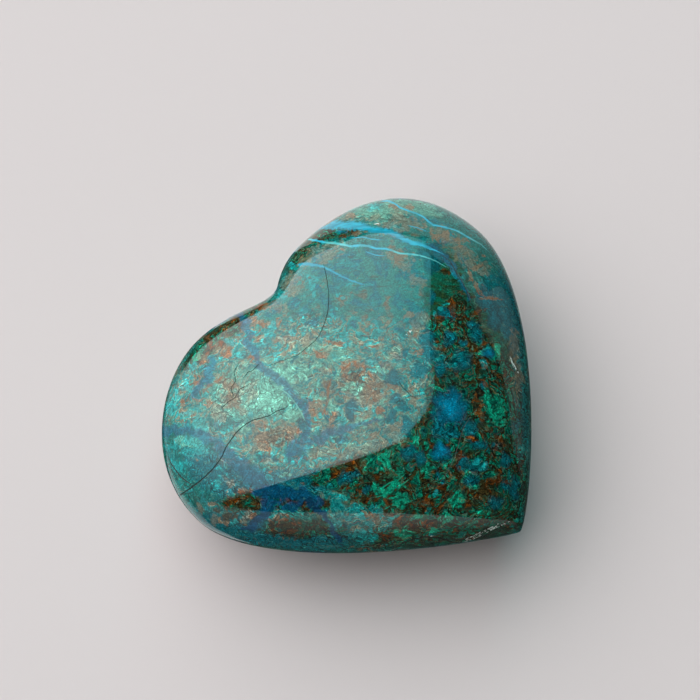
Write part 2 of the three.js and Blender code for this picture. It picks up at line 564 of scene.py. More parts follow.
AQUA = (
    (311.5, 279, 6.5, 3.5), (312.5, 286, 3.8, 5), (313, 294, 1.6, 4), (300, 266, 2.5, 2),
    (301, 273, 2, 2.5), (297, 303, 3, 1.5), (283, 296, 6, 3.5, -30), (268, 334, 4, 11, 15),
    (261, 345, 3, 2.5), (276, 356, 4, 4), (254, 345, 4, 8), (292, 333, 4, 3), (302, 321, 4, 2.5),
    (291, 320, 3, 1.5), (303, 310, 2.5, 1.5), (345, 298, 3, 2.5), (338, 293, 2, 4), (331, 313, 3, 5),
    (335, 309, 5, 1.5), (327, 337, 4, 3), (349, 284, 5, 2, -20), (344, 345, 4, 4), (348, 337, 3, 5),
    (364, 346, 5, 2.2, -20), (403, 335, 4, 5), (409, 327, 1.5, 3), (397, 331, 4, 2), (381, 330, 4, 3),
    (212, 359, 4, 4), (211, 370, 4, 6), (210, 372, 5, 8), (197, 394, 4, 3), (190, 391, 3, 2),
    (186, 384, 4, 3), (189, 380, 4, 2), (171, 403, 4, 5), (171, 413, 3, 3), (203, 420, 3, 3),
    (204, 428, 3, 4), (196, 440, 6, 4), (222, 470, 6, 2.5, 20), (262, 470, 6, 2, 10),
    (268, 476, 4, 3, 45), (217, 484, 3.5, 4), (273, 455, 2, 4), (285, 460, 1.8, 4), (292, 461, 2.5, 4),
    (301, 461, 2, 4), (307, 467, 2, 4), (338, 498, 5, 4), (337, 507, 6, 5), (333, 505, 3, 8),
    (355, 509, 9, 5), (361, 515, 3, 5), (378, 512, 5, 4), (375, 505, 3, 2), (370, 523, 5, 3.5),
    (389, 524, 4, 5), (373, 530, 3, 2), (362, 533, 5, 5), (372, 537, 5, 4), (345, 517, 8, 3),
    (335, 523, 5, 5), (328, 495, 4, 3), (329, 487, 4, 2), (437, 494, 3, 2.5), (478, 465, 6, 4),
    (484, 363, 3, 5), (488, 347, 3, 3), (441, 309, 3, 2), (230, 342, 8, 3, 15), (193, 367, 4, 4),
    (243, 355, 6, 2.5), (273, 327, 4, 6), (268, 337, 3, 7), (175, 392, 5, 4), (170, 405, 4, 6),
    (178, 398, 4, 3), (202, 428, 6, 3), (250, 415, 3, 4), (198, 443, 8, 5), (258, 470, 9, 3, 10),
    (217, 483, 5, 5), (235, 523, 5, 3), (375, 207, 7, 4), (315, 249, 5, 3), (333, 240, 4, 1.8),
    (483, 353, 3, 4), (488, 350, 4, 3), (372, 362, 6, 3.5), (363, 380, 3, 2),
    (459, 277, 6, 3, 40), (445, 304, 4, 2, -30), (434, 312, 2, 3), (195, 442, 17, 6, 15),
    (198, 423, 9, 5), (190, 452, 12, 4), (334, 521, 8, 6), (361, 535, 8, 5), (396, 229, 8, 2.5),
    (333, 524, 7, 6), (183, 414, 6, 4), (308, 447, 5, 5), (334, 522, 8, 7), (338, 429, 5, 4),
    (190, 427, 7, 3), (357, 509, 8, 4), (181, 466, 10, 6), (292, 266, 4, 3), (324, 339, 5, 3),
    (182, 387, 5, 4), (338, 233, 4, 2), (478, 464, 7, 5), (363, 536, 10, 6), (173, 446, 6, 3),
)
GREEN = (
    (368, 463, 5, 7), (384, 461, 5, 10, 25), (397, 473, 5, 3), (400, 447, 6, 3), (415, 444, 3, 3),
    (415, 438, 3, 2), (426, 446, 1.8, 4), (391, 451, 2, 4), (375, 487, 5, 4), (400, 500, 8, 7),
    (456, 500, 9, 8), (462, 499, 4, 5), (474, 487, 5, 3), (440, 389, 4, 2.5), (445, 517, 8, 3),
    (447, 521, 5, 2.5), (435, 531, 6, 2), (403, 533, 9, 5), (495, 410, 10, 15, -25), (462, 358, 5, 4),
    (478, 352, 2, 3), (497, 350, 3, 8), (493, 475, 4, 4), (487, 427, 3, 4), (388, 477, 3, 3),
    (455, 462, 5, 4), (465, 475, 4, 5), (480, 512, 8, 3), (353, 491, 4, 3), (446, 470, 3, 4),
    (196, 357, 8, 3, -55), (422, 516, 8, 3), (400, 527, 6, 3), (382, 493, 6, 5), (428, 470, 5, 6),
    (385, 461, 7, 9, 25), (368, 464, 6, 6), (391, 488, 11, 4, -25), (395, 474, 6, 4),
)
BLUE = (
    (450, 407, 17, 18), (441, 452, 10, 9), (489, 353, 6, 5),
)
DIM_BLUE = (
    (452, 433, 7, 7), (443, 433, 6, 4), (408, 452, 9, 8), (462, 360, 10, 11), (482, 386, 3, 4),
    (476, 335, 7, 9, -30), (473, 325, 6, 5), (447, 314, 9, 7), (450, 338, 7, 6), (463, 343, 4, 4),
    (505, 460, 5, 8), (478, 445, 9, 5), (470, 428, 8, 8), (505, 485, 6, 6), (495, 503, 8, 7),
    (515, 490, 5, 13), (345, 478, 7, 6), (355, 474, 6, 4), (367, 490, 4, 4), (443, 480, 3, 3),
    (438, 474, 2, 4), (495, 445, 5, 4), (392, 415, 4, 9), (393, 374, 6, 6), (352, 412, 4, 10, 15),
    (404, 354, 5, 4), (406, 425, 5, 9), (486, 300, 9, 14, -20), (303, 480, 9, 5), (395, 398, 6, 5),
    (430, 352, 6, 10), (428, 338, 7, 8), (438, 428, 8, 12), (449, 340, 7, 6), (393, 380, 9, 6),
    (417, 370, 7, 8), (403, 407, 5, 7), (407, 428, 5, 9), (352, 407, 6, 8, 30), (303, 427, 5, 10),
    (472, 480, 8, 6), (462, 462, 6, 10), (437, 255, 6, 16), (429, 262, 5, 14), (432, 297, 3, 8),
    (421, 372, 7, 8), (426, 345, 6, 12), (440, 368, 6, 8), (421, 458, 6, 7), (440, 256, 7, 9),
    (495, 318, 7, 12), (424, 254, 8, 5), (440, 256, 8, 6), (268, 459, 10, 4), (341, 440, 6, 4),
    (396, 357, 5, 4), (312, 322, 7, 5), (476, 465, 11, 7),
)
DEEP_BLUE = (
    (262, 492, 8, 5), (275, 493, 9, 7), (290, 494, 8, 6), (303, 494, 7, 5), (270, 503, 9, 6),
    (237, 314, 4, 3), (318, 502, 6, 5), (299, 504, 6, 4), (292, 507, 9, 4),
)
DEEP_LINES = (
    ((256, 491, 3), (264, 492, 6), (275, 492, 8), (290, 494, 6), (303, 494, 6), (310, 499, 4.5),
     (316, 508, 4), (324, 514, 3), (329, 523, 2.5), (334, 532, 2.5), (341, 541, 3.5)),
    ((270, 508, 4), (262, 516, 4), (252, 526, 3), (240, 529, 2)),
)
SLATE_LINES = (
    ((240, 311, 2), (243, 318, 3), (247, 325, 4), (249, 335, 4), (247, 343, 4), (254, 350, 4),
     (258, 360, 3.5), (262, 368, 3), (270, 372, 3), (277, 378, 4), (284, 384, 4), (290, 392, 4),
     (296, 400, 4), (304, 407, 4.5), (307, 417, 2.5), (308, 424, 2.5), (309, 430, 2.5), (305, 437, 4),
     (300, 445, 8), (292, 452, 6)),
    ((309, 443, 4), (318, 440, 4), (330, 433, 5), (342, 431, 5), (350, 427, 3), (360, 424, 1.8),
     (375, 421, 1.5), (386, 419, 1.2)),
    ((162, 431, 5), (175, 431, 5), (188, 431, 4), (200, 434, 4), (207, 438, 6), (215, 442, 6),
     (222, 448, 5), (232, 458, 6), (240, 465, 8), (250, 472, 10), (258, 480, 9)),
    ((212, 359, 3), (211, 368, 6), (206, 378, 5), (201, 386, 4), (195, 393, 5)),
    ((263, 514, 5), (261, 522, 5), (253, 528, 3), (240, 529, 2)),
    ((338, 232, 2), (346, 232, 2)),
    ((429, 247, 2), (437, 251, 2.5), (445, 257, 3), (452, 266, 2.5), (458, 276, 2), (464, 288, 2.2),
     (470, 299, 1.4)),
)
BROWN = (
    (352, 466, 9, 5), (335, 474, 3, 3), (343, 476, 2, 2), (385, 477, 9, 4, -10), (350, 489, 9, 2, 5),
    (365, 499, 12, 2), (388, 503, 4, 3), (407, 444, 4, 3), (447, 391, 4, 1.5), (475, 383, 5, 3),
    (496, 374, 6, 3), (477, 403, 5, 4), (485, 422, 7, 2, 20), (473, 438, 5, 2.5), (477, 362, 3, 8),
    (474, 350, 4, 3), (466, 318, 8, 3, -15), (455, 309, 4, 3), (440, 321, 9, 1.8), (448, 300, 4, 2),
    (447, 272, 3, 2), (487, 484, 10, 6), (497, 470, 4, 4), (503, 476, 3, 3), (475, 500, 10, 7),
    (483, 493, 4, 2), (455, 475, 8, 3), (446, 485, 5, 3), (437, 498, 6, 2), (422, 482, 4, 3),
    (470, 455, 3, 3), (461, 453, 2, 5), (245, 494, 5, 5), (260, 500, 5, 2.5, 15), (283, 501, 3.5, 2),
    (294, 503, 4, 1.8), (323, 503, 4, 3), (285, 525, 14, 9), (382, 535, 4, 8), (399, 522, 5, 7),
    (425, 524, 11, 5), (390, 535, 4, 2), (365, 549, 14, 2), (252, 517, 4, 4), (225, 523, 6, 2),
    (213, 505, 4, 3), (214, 333, 3, 2), (238, 324, 4, 3), (243, 330, 3, 3), (255, 307, 6, 2),
    (265, 307, 4, 2), (252, 320, 5, 5), (262, 323, 5, 3), (260, 338, 5, 3), (278, 325, 1.8, 6),
    (252, 358, 4, 2), (210, 348, 4, 4), (222, 345, 4, 4), (227, 355, 4, 3), (204, 362, 4, 2),
    (198, 376, 4, 2), (196, 383, 3, 2), (184, 402, 3, 4), (197, 399, 5, 1.5), (207, 404, 4, 2),
    (260, 425, 8, 5), (262, 440, 5, 9), (265, 447, 5, 3), (290, 430, 8, 6), (285, 437, 8, 3),
    (313, 408, 6, 8), (333, 418, 3, 5), (345, 375, 4, 6), (340, 385, 6, 2), (347, 368, 2, 5),
    (365, 374, 3, 4), (372, 385, 5, 8), (375, 400, 5, 6), (378, 410, 4, 4), (393, 388, 4, 3),
    (385, 419, 2, 3), (395, 427, 5, 4), (375, 435, 4, 4), (412, 389, 3, 4), (413, 402, 3, 4),
    (350, 432, 4, 2), (345, 363, 5, 4), (362, 366, 8, 2), (331, 343, 8, 3), (373, 346, 4, 2),
    (320, 355, 8, 5), (410, 315, 6, 3), (352, 216, 5, 3), (393, 206, 3, 1.8), (410, 206, 4, 2),
    (400, 258, 6, 5), (484, 255, 4, 2), (475, 268, 6, 1.5), (472, 297, 4, 1.5), (462, 240, 5, 4),
    (448, 236, 6, 4), (434, 236, 5, 3), (352, 232, 10, 4), (344, 236, 5, 2), (456, 312, 9, 2, -20),
    (448, 318, 10, 1.8), (474, 314, 8, 3, -25), (353, 464, 10, 5, -10), (382, 475, 10, 3, -8),
    (494, 481, 10, 5), (477, 497, 9, 6, 20), (232, 503, 6, 4), (255, 503, 6, 3, 20), (270, 470, 3, 2),
    (430, 500, 9, 5), (441, 489, 8, 3, 10), (246, 498, 10, 5), (236, 502, 8, 4), (498, 440, 6, 9),
    (414, 489, 9, 4, -15), (207, 341, 6, 5, -50), (444, 507, 8, 4), (375, 517, 7, 3), (421, 510, 6, 4),
    (480, 266, 6, 1.5, -10), (471, 276, 2, 6, -20), (455, 305, 8, 3, -10), (380, 521, 8, 3),
    (456, 463, 4, 6), (446, 474, 7, 4), (484, 429, 5, 6), (490, 298, 8, 1.2, 6), (477, 287, 1.5, 6, -25),
    (390, 515, 6, 3),
)
RUST = (
    (486, 384, 3, 2), (478, 417, 5, 4), (483, 344, 4, 2), (491, 346, 2, 2), (433, 316, 3, 2),
    (489, 476, 3, 3), (314, 516, 3, 2), (224, 325, 8, 3, -25), (190, 397, 4, 2), (382, 343, 3, 3),
    (476, 255, 2, 1.5), (470, 345, 2, 3), (243, 491, 4, 2), (476, 395, 3, 3), (490, 490, 4, 2),
    (470, 505, 4, 2), (352, 462, 4, 1.8), (299, 430, 3, 2), (371, 502, 5, 1.5), (452, 476, 4, 1.5),
    (205, 349, 3, 2), (227, 349, 3, 1.5), (346, 362, 3, 2), (392, 343, 3, 2), (328, 344, 4, 1.5),
    (322, 358, 3, 2), (480, 371, 2, 3), (288, 524, 6, 3), (424, 523, 5, 2), (400, 520, 2, 4),
    (383, 533, 1.8, 5), (215, 333, 5, 3), (228, 325, 7, 3, -20), (240, 333, 5, 2), (210, 348, 4, 5),
    (224, 345, 5, 3), (233, 345, 4, 2), (260, 338, 4, 3), (230, 353, 2, 5), (250, 358, 5, 1.8),
    (228, 368, 4, 4), (220, 377, 8, 3, -30), (208, 389, 3, 3), (196, 380, 3, 4), (190, 400, 7, 2, -8),
    (484, 344, 4, 1.6), (494, 347, 2, 3), (478, 358, 1.8, 5), (487, 362, 5, 1.6), (484, 369, 2, 3),
    (481, 381, 3, 3), (479, 405, 4, 3), (477, 416, 4, 5), (473, 438, 5, 1.6), (461, 453, 2, 4),
    (497, 468, 4, 3), (450, 483, 6, 2), (433, 497, 8, 1.8), (447, 299, 6, 1.8), (348, 363, 8, 1.6),
    (370, 375, 10, 1.5), (348, 382, 5, 1.6), (325, 410, 1.8, 7), (361, 407, 1.8, 10, 30),
    (418, 353, 4, 4), (248, 492, 5, 3), (282, 500, 4, 2), (292, 503, 4, 2), (262, 460, 7, 1.4, 20),
)
MINT = (
    (283, 372, 14, 9), (290, 372, 8, 8), (280, 398, 13, 9), (293, 415, 8, 7), (307, 372, 5, 4),
    (316, 383, 3, 3), (283, 366, 6, 5), (318, 344, 6, 3, -15), (320, 366, 6, 2, 10), (340, 352, 6, 5),
    (333, 405, 4, 5), (357, 392, 5, 4), (353, 384, 3, 2), (340, 375, 4, 4), (345, 387, 6, 5),
    (340, 442, 3, 4), (352, 447, 3, 4), (367, 447, 4, 5), (360, 423, 8, 5), (380, 419, 5, 4),
    (377, 213, 10, 7), (365, 210, 8, 4), (385, 212, 8, 5), (383, 220, 5, 3), (398, 200, 6, 1.8),
    (388, 355, 3, 3), (322, 455, 3, 3), (310, 452, 3, 2.5), (330, 450, 2.5, 3), (403, 410, 3, 4),
    (383, 402, 2.5, 4), (268, 392, 11, 9), (262, 403, 11, 6), (418, 204, 6, 3), (362, 210, 6, 4),
    (388, 207, 4, 4), (332, 407, 6, 6), (357, 390, 7, 5), (303, 373, 6, 6), (317, 398, 8, 3),
    (380, 370, 5, 4), (200, 440, 8, 3, 15), (190, 445, 7, 3), (244, 428, 6, 5), (285, 475, 6, 3),
)
TAN = (
    (260, 425, 9, 5), (262, 440, 5, 9), (265, 448, 6, 3), (290, 430, 8, 6), (313, 408, 6, 8),
    (372, 385, 5, 8), (375, 400, 5, 6), (378, 410, 4, 4), (333, 418, 3, 5), (345, 375, 4, 6),
    (225, 385, 6, 8), (236, 402, 5, 6), (210, 348, 4, 4), (222, 345, 4, 4), (252, 320, 5, 5),
    (262, 323, 5, 3), (331, 343, 8, 3), (320, 355, 8, 4), (227, 403, 9, 8),
    (238, 390, 7, 12), (220, 415, 8, 6), (243, 410, 6, 4), (204, 358, 5, 5), (248, 517, 7, 5),
    (350, 217, 9, 3), (398, 217, 9, 6), (395, 207, 5, 3), (409, 208, 6, 3), (388, 224, 6, 3),
    (417, 227, 7, 2), (404, 227, 6, 4), (435, 230, 7, 4), (395, 254, 8, 4), (402, 264, 12, 5),
    (417, 402, 6, 6), (423, 382, 10, 4, -30), (393, 432, 8, 6), (370, 390, 6, 8), (387, 365, 5, 4),
    (375, 440, 9, 5), (330, 450, 8, 5), (317, 408, 8, 7), (470, 262, 8, 5), (410, 222, 14, 5, 15),
    (372, 218, 10, 3), (446, 238, 14, 6, 30), (462, 254, 10, 7, 50), (330, 246, 12, 3, -20),
    (400, 258, 14, 6, 10), (372, 445, 22, 6, -20), (352, 452, 20, 5, -16), (318, 408, 9, 7),
    (330, 428, 10, 6), (312, 252, 9, 5, -40), (300, 262, 6, 4, -50), (289, 281, 10, 6, -50),
    (328, 257, 12, 5, -20), (294, 290, 8, 5), (277, 308, 9, 6), (323, 372, 6, 4), (396, 232, 8, 3),
    # The tall tan patches at the right rim, at 518, 378 and 515, 345, are painted reflection: pale tan
    # that stands in for the rim's milky sheen
    (420, 319, 9, 7), (391, 353, 8, 6), (483, 268, 9, 6), (518, 378, 5, 16), (515, 345, 5, 14),
    (416, 279, 8, 6), (249, 390, 8, 10), (318, 453, 8, 4), (368, 414, 6, 5), (200, 508, 6, 3, 45),
    (216, 520, 6, 3, 35), (395, 357, 8, 5), (216, 407, 7, 6), (327, 450, 7, 5), (418, 327, 7, 5),
    (360, 365, 9, 4), (229, 481, 7, 4), (401, 440, 7, 5), (330, 351, 7, 4), (266, 462, 6, 4),
    (250, 449, 6, 4),
)
BRIGHT_MINT = (
    (265, 395, 6, 4), (258, 403, 5, 4), (275, 403, 9, 6), (283, 388, 7, 3), (280, 371, 7, 4),
    (293, 368, 5, 3), (250, 408, 6, 3), (290, 412, 5, 4), (202, 421, 3, 2), (196, 439, 4, 3),
    (268, 410, 5, 3), (200, 441, 9, 3, 15), (190, 444, 8, 3), (198, 423, 8, 4), (199, 427, 9, 5),
    (183, 440, 6, 8),
)

# Broad soft washes behind the patches
CALM_WASH = (
    (345, 288, 30, 26, -30), (430, 222, 22, 8, 25), (460, 250, 18, 14, 40), (324, 276, 22, 22),
    (384, 285, 42, 38), (404, 260, 24, 26), (395, 318, 30, 12), (283, 308, 32, 15, -35),
)
OLIVE_WASH = (
    (475, 430, 40, 62), (450, 490, 62, 32), (385, 480, 42, 22, -12), (455, 320, 26, 26),
    (490, 380, 22, 44), (335, 232, 26, 7, -12), (300, 255, 20, 8, -50), (225, 335, 36, 7, -42),
    (250, 306, 16, 5, -25), (262, 503, 26, 6), (352, 470, 34, 9, -14), (330, 476, 16, 5, -14),
    (395, 460, 30, 10, -20), (425, 440, 14, 18), (487, 487, 26, 22), (430, 537, 70, 13, -4),
    (300, 528, 40, 9), (250, 499, 26, 8, -12), (203, 346, 24, 6, -50), (434, 385, 8, 16),
    (315, 505, 14, 6), (446, 284, 17, 34), (463, 497, 16, 10), (460, 474, 16, 10),
)
SOFT_WASH = (
    (380, 214, 62, 18), (440, 232, 30, 18, 30), (470, 262, 18, 30, -35), (500, 310, 22, 46, -10),
    (184, 445, 26, 26), (440, 272, 13, 30), (205, 510, 30, 20, 40), (385, 285, 46, 44),
    (315, 280, 22, 26),
)
MOSAIC_WASH = (
    (350, 390, 52, 48), (300, 350, 44, 26, -12), (372, 350, 54, 20), (330, 442, 66, 22, -12),
    (232, 345, 32, 24, -30), (398, 380, 34, 40), (188, 402, 22, 32), (255, 440, 40, 20),
    (400, 450, 30, 20), (360, 510, 50, 20), (440, 528, 60, 10),
)
MINT_WASH = (
    (266, 396, 36, 28), (378, 211, 46, 10, -5), (230, 392, 20, 26), (420, 208, 26, 6, 20),
    (196, 442, 18, 6, 15), (326, 352, 34, 14),
)
BLUE_WASH = (
    (500, 315, 26, 46), (285, 492, 44, 14, -6), (215, 468, 46, 26, 25), (235, 530, 60, 14, 14),
    (505, 430, 22, 70), (420, 350, 22, 30), (340, 535, 60, 12), (300, 475, 30, 10), (460, 400, 40, 40),
    (388, 322, 8, 14),
)
TAN_WASH = (
    (230, 390, 18, 24), (268, 438, 26, 14), (290, 430, 12, 8), (372, 392, 12, 16), (300, 340, 30, 8),
    (222, 345, 16, 10, -30), (352, 388, 34, 20),
)
BROWN_WASH = (
    (287, 524, 20, 10), (405, 527, 40, 8), (482, 486, 28, 20), (232, 326, 34, 8, -35), (474, 350, 14, 26),
    (352, 468, 20, 8), (232, 392, 16, 22), (275, 436, 26, 14), (230, 518, 26, 8, 25),
    (352, 468, 26, 7, -14), (360, 382, 32, 22),
)


def outward(turn, elevation):
    """The way out from the stone at that compass turn and elevation, in degrees."""
    turn, elevation = math.radians(turn), math.radians(elevation)
    level = math.cos(elevation)
    return math.sin(turn) * level, -math.cos(turn) * level, math.sin(elevation)


def view_axes():
    azimuth = math.radians(VIEW_AZIMUTH)
    back = np.array(outward(VIEW_AZIMUTH, VIEW_ELEVATION))
    right = np.array([math.cos(azimuth), math.sin(azimuth), 0.0])
    return right, np.cross(back, right), back


def view_target(sizes):
    return np.array([*CROWN, sizes.back_depth / MM])


def in_picture(points, target):
    """Where points in millimetres fall in the 700 pixel picture."""
    right, up, back = view_axes()
    arms = points - target
    scale = VIEW_DISTANCE * VIEW_SCALE / (VIEW_DISTANCE - arms @ back)
    return VIEW_PIXEL[0] + arms @ right * scale, VIEW_PIXEL[1] - arms @ up * scale


def make_camera(sizes):
    """Aims the camera so that the stone sits in the picture as it does in the photograph."""
    axes = view_axes()
    place = view_target(sizes) + axes[2] * VIEW_DISTANCE
    data = bpy.data.cameras.new("camera")
    data.sensor_width = SENSOR_WIDTH
    data.lens = SENSOR_WIDTH * VIEW_DISTANCE * VIEW_SCALE / PICTURE_SIDE
    data.shift_x = (PICTURE_SIDE / 2 - VIEW_PIXEL[0]) / PICTURE_SIDE
    data.shift_y = (VIEW_PIXEL[1] - PICTURE_SIDE / 2) / PICTURE_SIDE
    data.clip_start, data.clip_end = CLIP_RANGE
    camera = bpy.data.objects.new("camera", data)
    bpy.context.collection.objects.link(camera)
    turned = Matrix([list(axis) for axis in axes]).transposed()
    camera.matrix_world = Matrix.Translation(Vector(place * MM)) @ turned.to_4x4()
    bpy.context.scene.camera = camera


PATCH_KINDS = {
    "aqua": AQUA,
    "green": GREEN,
    "blue": BLUE,
    "dim_blue": DIM_BLUE,
    "brown": BROWN,
    "rust": RUST,
    "mint": MINT,
    "tan": TAN,
    "bright_mint": BRIGHT_MINT,
    "deep_blue": DEEP_BLUE,
}
BROAD_LINES = {"deep_blue": DEEP_LINES, "slate": SLATE_LINES}
FINE_LINES = {
    "sky": SKY_VEINS,
    "ice": ICE_VEINS,
    "pale": PALE_LINES,
    "rusty": RUST_LINES,
    "crack": CRACKS,
    "chip": CHIPS_AND_GLINTS,
}
WASHES = {
    "calm_wash": CALM_WASH,
    "olive_wash": OLIVE_WASH,
    "soft_wash": SOFT_WASH,
    "mosaic_wash": MOSAIC_WASH,
    "mint_wash": MINT_WASH,
    "blue_wash": BLUE_WASH,
    "tan_wash": TAN_WASH,
    "brown_wash": BROWN_WASH,
}
# Where the picture no longer sees the stone's side well, by the facing's cosine
TURNED_AWAY = 0.10
TURNED_NEAR = 0.28
# Up to where random patches may have their middles
SCATTER_FACING = 0.9 * TURNED_NEAR
# Count, smallest and largest half size in millimetres of the unseen sides' patches
SCATTERED = {
    "aqua": (60, 0.4, 1.3),
    "green": (70, 0.4, 1.8),
    "blue": (16, 0.8, 1.8),
    "dim_blue": (40, 0.6, 2.2),
    "brown": (130, 0.4, 1.6),
    "rust": (70, 0.2, 0.7),
    "mint": (50, 0.5, 2.2),
    "tan": (30, 0.4, 1.4),
    "bright_mint": (12, 0.4, 1.2),
    "deep_blue": (12, 0.8, 2.6),
    "slate": (6, 0.6, 1.6),
}
# Veins run through the stone as sheets: two picture points on each, the dip of the
# sheet in degrees and half its thickness in millimetres
SHEETS = {
    "sky": (((320, 226), (404, 239), 12, 0.3), ((383, 200), (455, 230), -18, 0.14)),
    "slate": (((166, 430), (240, 465), 10, 0.8),),
    "deep_blue": (((333, 524), (344, 543), 25, 0.5), ((250, 527), (270, 508), -20, 0.4)),
    "crack": (((184, 493), (222, 457), 8, 0.07),),
}
SEED = 41
WAVE_COUNT = 7
# How far the patches' edges sway, and over what length, in pixels
EDGE_SWAYS = ((1.3, 13.0), (0.6, 5.5))
# The same for the sheets, in millimetres
SHEET_SWAY = (0.5, 8.0)
# The unseen sides' washes: their length in millimetres, and the swell's values where
# they begin and where they cover fully
BROAD_WAVE = 17.0
WASH_RANGE = (-0.1, 1.3)
# How fast a wash fades outwards from its middle
WASH_FADE = 0.8
# How far beside a fine line its sign still counts, in pixels
LINE_WINDOW = 3.0
# Further than anything counts: from a patch in its sizes, from a line, and from the picture
FAR_PATCH = 9.0
FAR_LINE = 99.0
OUT_OF_PICTURE = -999.0
# How far out a patch is worked out, in its sizes, and a line's side, in its half widths
PATCH_WINDOW = 2.5
SIDE_LIMIT = 20


def smooth_share(low, high, value):
    share = np.clip((value - low) / (high - low), 0, 1)
    return share * share * (3 - 2 * share)


def inside_share(distance):
    """1 in the middle of a patch, 0.5 at its edge and 0 from twice its size."""
    return np.clip(1 - distance / 2, 0, 1)


def swell(places, seed, wavelength):
    """A smooth random swell, about -1 to 1, that changes over the given length."""
    rng = np.random.default_rng(seed)
    total = np.zeros(len(places))
    for _ in range(WAVE_COUNT):
        heading = rng.normal(size=places.shape[1])
        heading *= math.tau / (wavelength * rng.uniform(0.7, 1.5)) / np.linalg.norm(heading)
        total += np.sin(places @ heading + rng.uniform(0, math.tau))
    return total / math.sqrt(WAVE_COUNT)


def swayed(flat):
    """The picture points, moved a little so that the patches' edges sway."""
    seed = SEED
    columns = []
    for column in flat.T:
        for amount, wavelength in EDGE_SWAYS:
            seed += 1
            column = column + amount * swell(flat, seed, wavelength)
        columns.append(column)
    return columns


def patch_distance(x, y, patches):
    """Distance from the nearest patch's middle, where 1 is its edge."""
    nearest = np.full(len(x), FAR_PATCH)
    for middle_x, middle_y, half_x, half_y, *lean in patches:
        window = PATCH_WINDOW * max(half_x, half_y)
        close = np.flatnonzero((np.abs(x - middle_x) < window) & (np.abs(y - middle_y) < window))
        angle = math.radians(lean[0]) if lean else 0
        along_x, along_y = x[close] - middle_x, y[close] - middle_y
        along = along_x * math.cos(angle) + along_y * math.sin(angle)
        across = along_y * math.cos(angle) - along_x * math.sin(angle)
        distance = np.hypot(along / half_x, across / half_y)
        nearest[close] = np.minimum(nearest[close], distance)
    return nearest


def line_distance(x, y, lines):
    """Distance in pixels and signed distance in half widths from the nearest line."""
    gap = np.full(len(x), FAR_LINE)
    signed = np.full(len(x), FAR_LINE)
    for line in lines:
        for (ax, ay, aw), (bx, by, bw) in zip(line, line[1:]):
            run = math.hypot(bx - ax, by - ay)
            share = ((x - ax) * (bx - ax) + (y - ay) * (by - ay)) / run**2
            share = np.clip(share, 0, 1)
            width = aw + (bw - aw) * share
            off_x, off_y = x - ax - share * (bx - ax), y - ay - share * (by - ay)
            distance = np.hypot(off_x, off_y)
            sign = np.where((bx - ax) * off_y - (by - ay) * off_x < 0, -1.0, 1.0)
            closer = distance - width < gap
            gap = np.where(closer, distance - width, gap)
            signed = np.where(closer, sign * distance / width, signed)
    return gap, signed


def wash_share(x, y, patches):
    total = np.zeros(len(x))
    for patch in patches:
        total += np.exp(-patch_distance(x, y, [patch]) ** 2 * WASH_FADE)
    return np.clip(total, 0, 1)


def scattered_share(places, centres, rng, smallest, largest):
    """Random flattened blobs on the unseen sides, with 0.5 at their edges."""
    nearest = np.full(len(places), FAR_PATCH)
    for centre in centres:
        size = smallest * (largest / smallest) ** rng.uniform(0, 1)
        turn = np.linalg.qr(rng.normal(size=(3, 3)))[0]
        shape = turn / (size * np.array([1, rng.uniform(0.6, 1), rng.uniform(0.4, 0.9)]))
        near = np.flatnonzero(np.abs(places - centre).max(axis=1) < PATCH_WINDOW * size)
        distance = np.linalg.norm((places[near] - centre) @ shape, axis=1)
        nearest[near] = np.minimum(nearest[near], distance)
    return inside_share(nearest)


def sheet_distance(places, picture, sheets):
    """Distance in millimetres and signed distance in half widths from the nearest sheet."""
    gap = np.full(len(places), FAR_LINE)
    signed = np.full(len(places), FAR_LINE)
    sway, wavelength = SHEET_SWAY
    upright = np.array([0, 0, 1])
    for order, (first, second, dip, half) in enumerate(sheets):
        start, end = (
            places[np.argmin(np.hypot(picture[:, 0] - x, picture[:, 1] - y))]
            for x, y in (first, second)
        )
        run = (end - start) / np.linalg.norm(end - start)
        lean = math.radians(dip)
        down = math.sin(lean) * np.cross(run, upright) - math.cos(lean) * upright
        normal = np.cross(run, down)
        normal /= np.linalg.norm(normal)
        away = (places - start) @ normal + swell(places, SEED + order, wavelength) * sway
        closer = np.abs(away) - half < gap
        gap = np.where(closer, np.abs(away) - half, gap)
        signed = np.where(closer, away / half, signed)
    return gap, signed


def point_vectors(points, key):
    values = np.empty(len(points) * 3)
    points.foreach_get(key, values)
    return values.reshape(-1, 3)


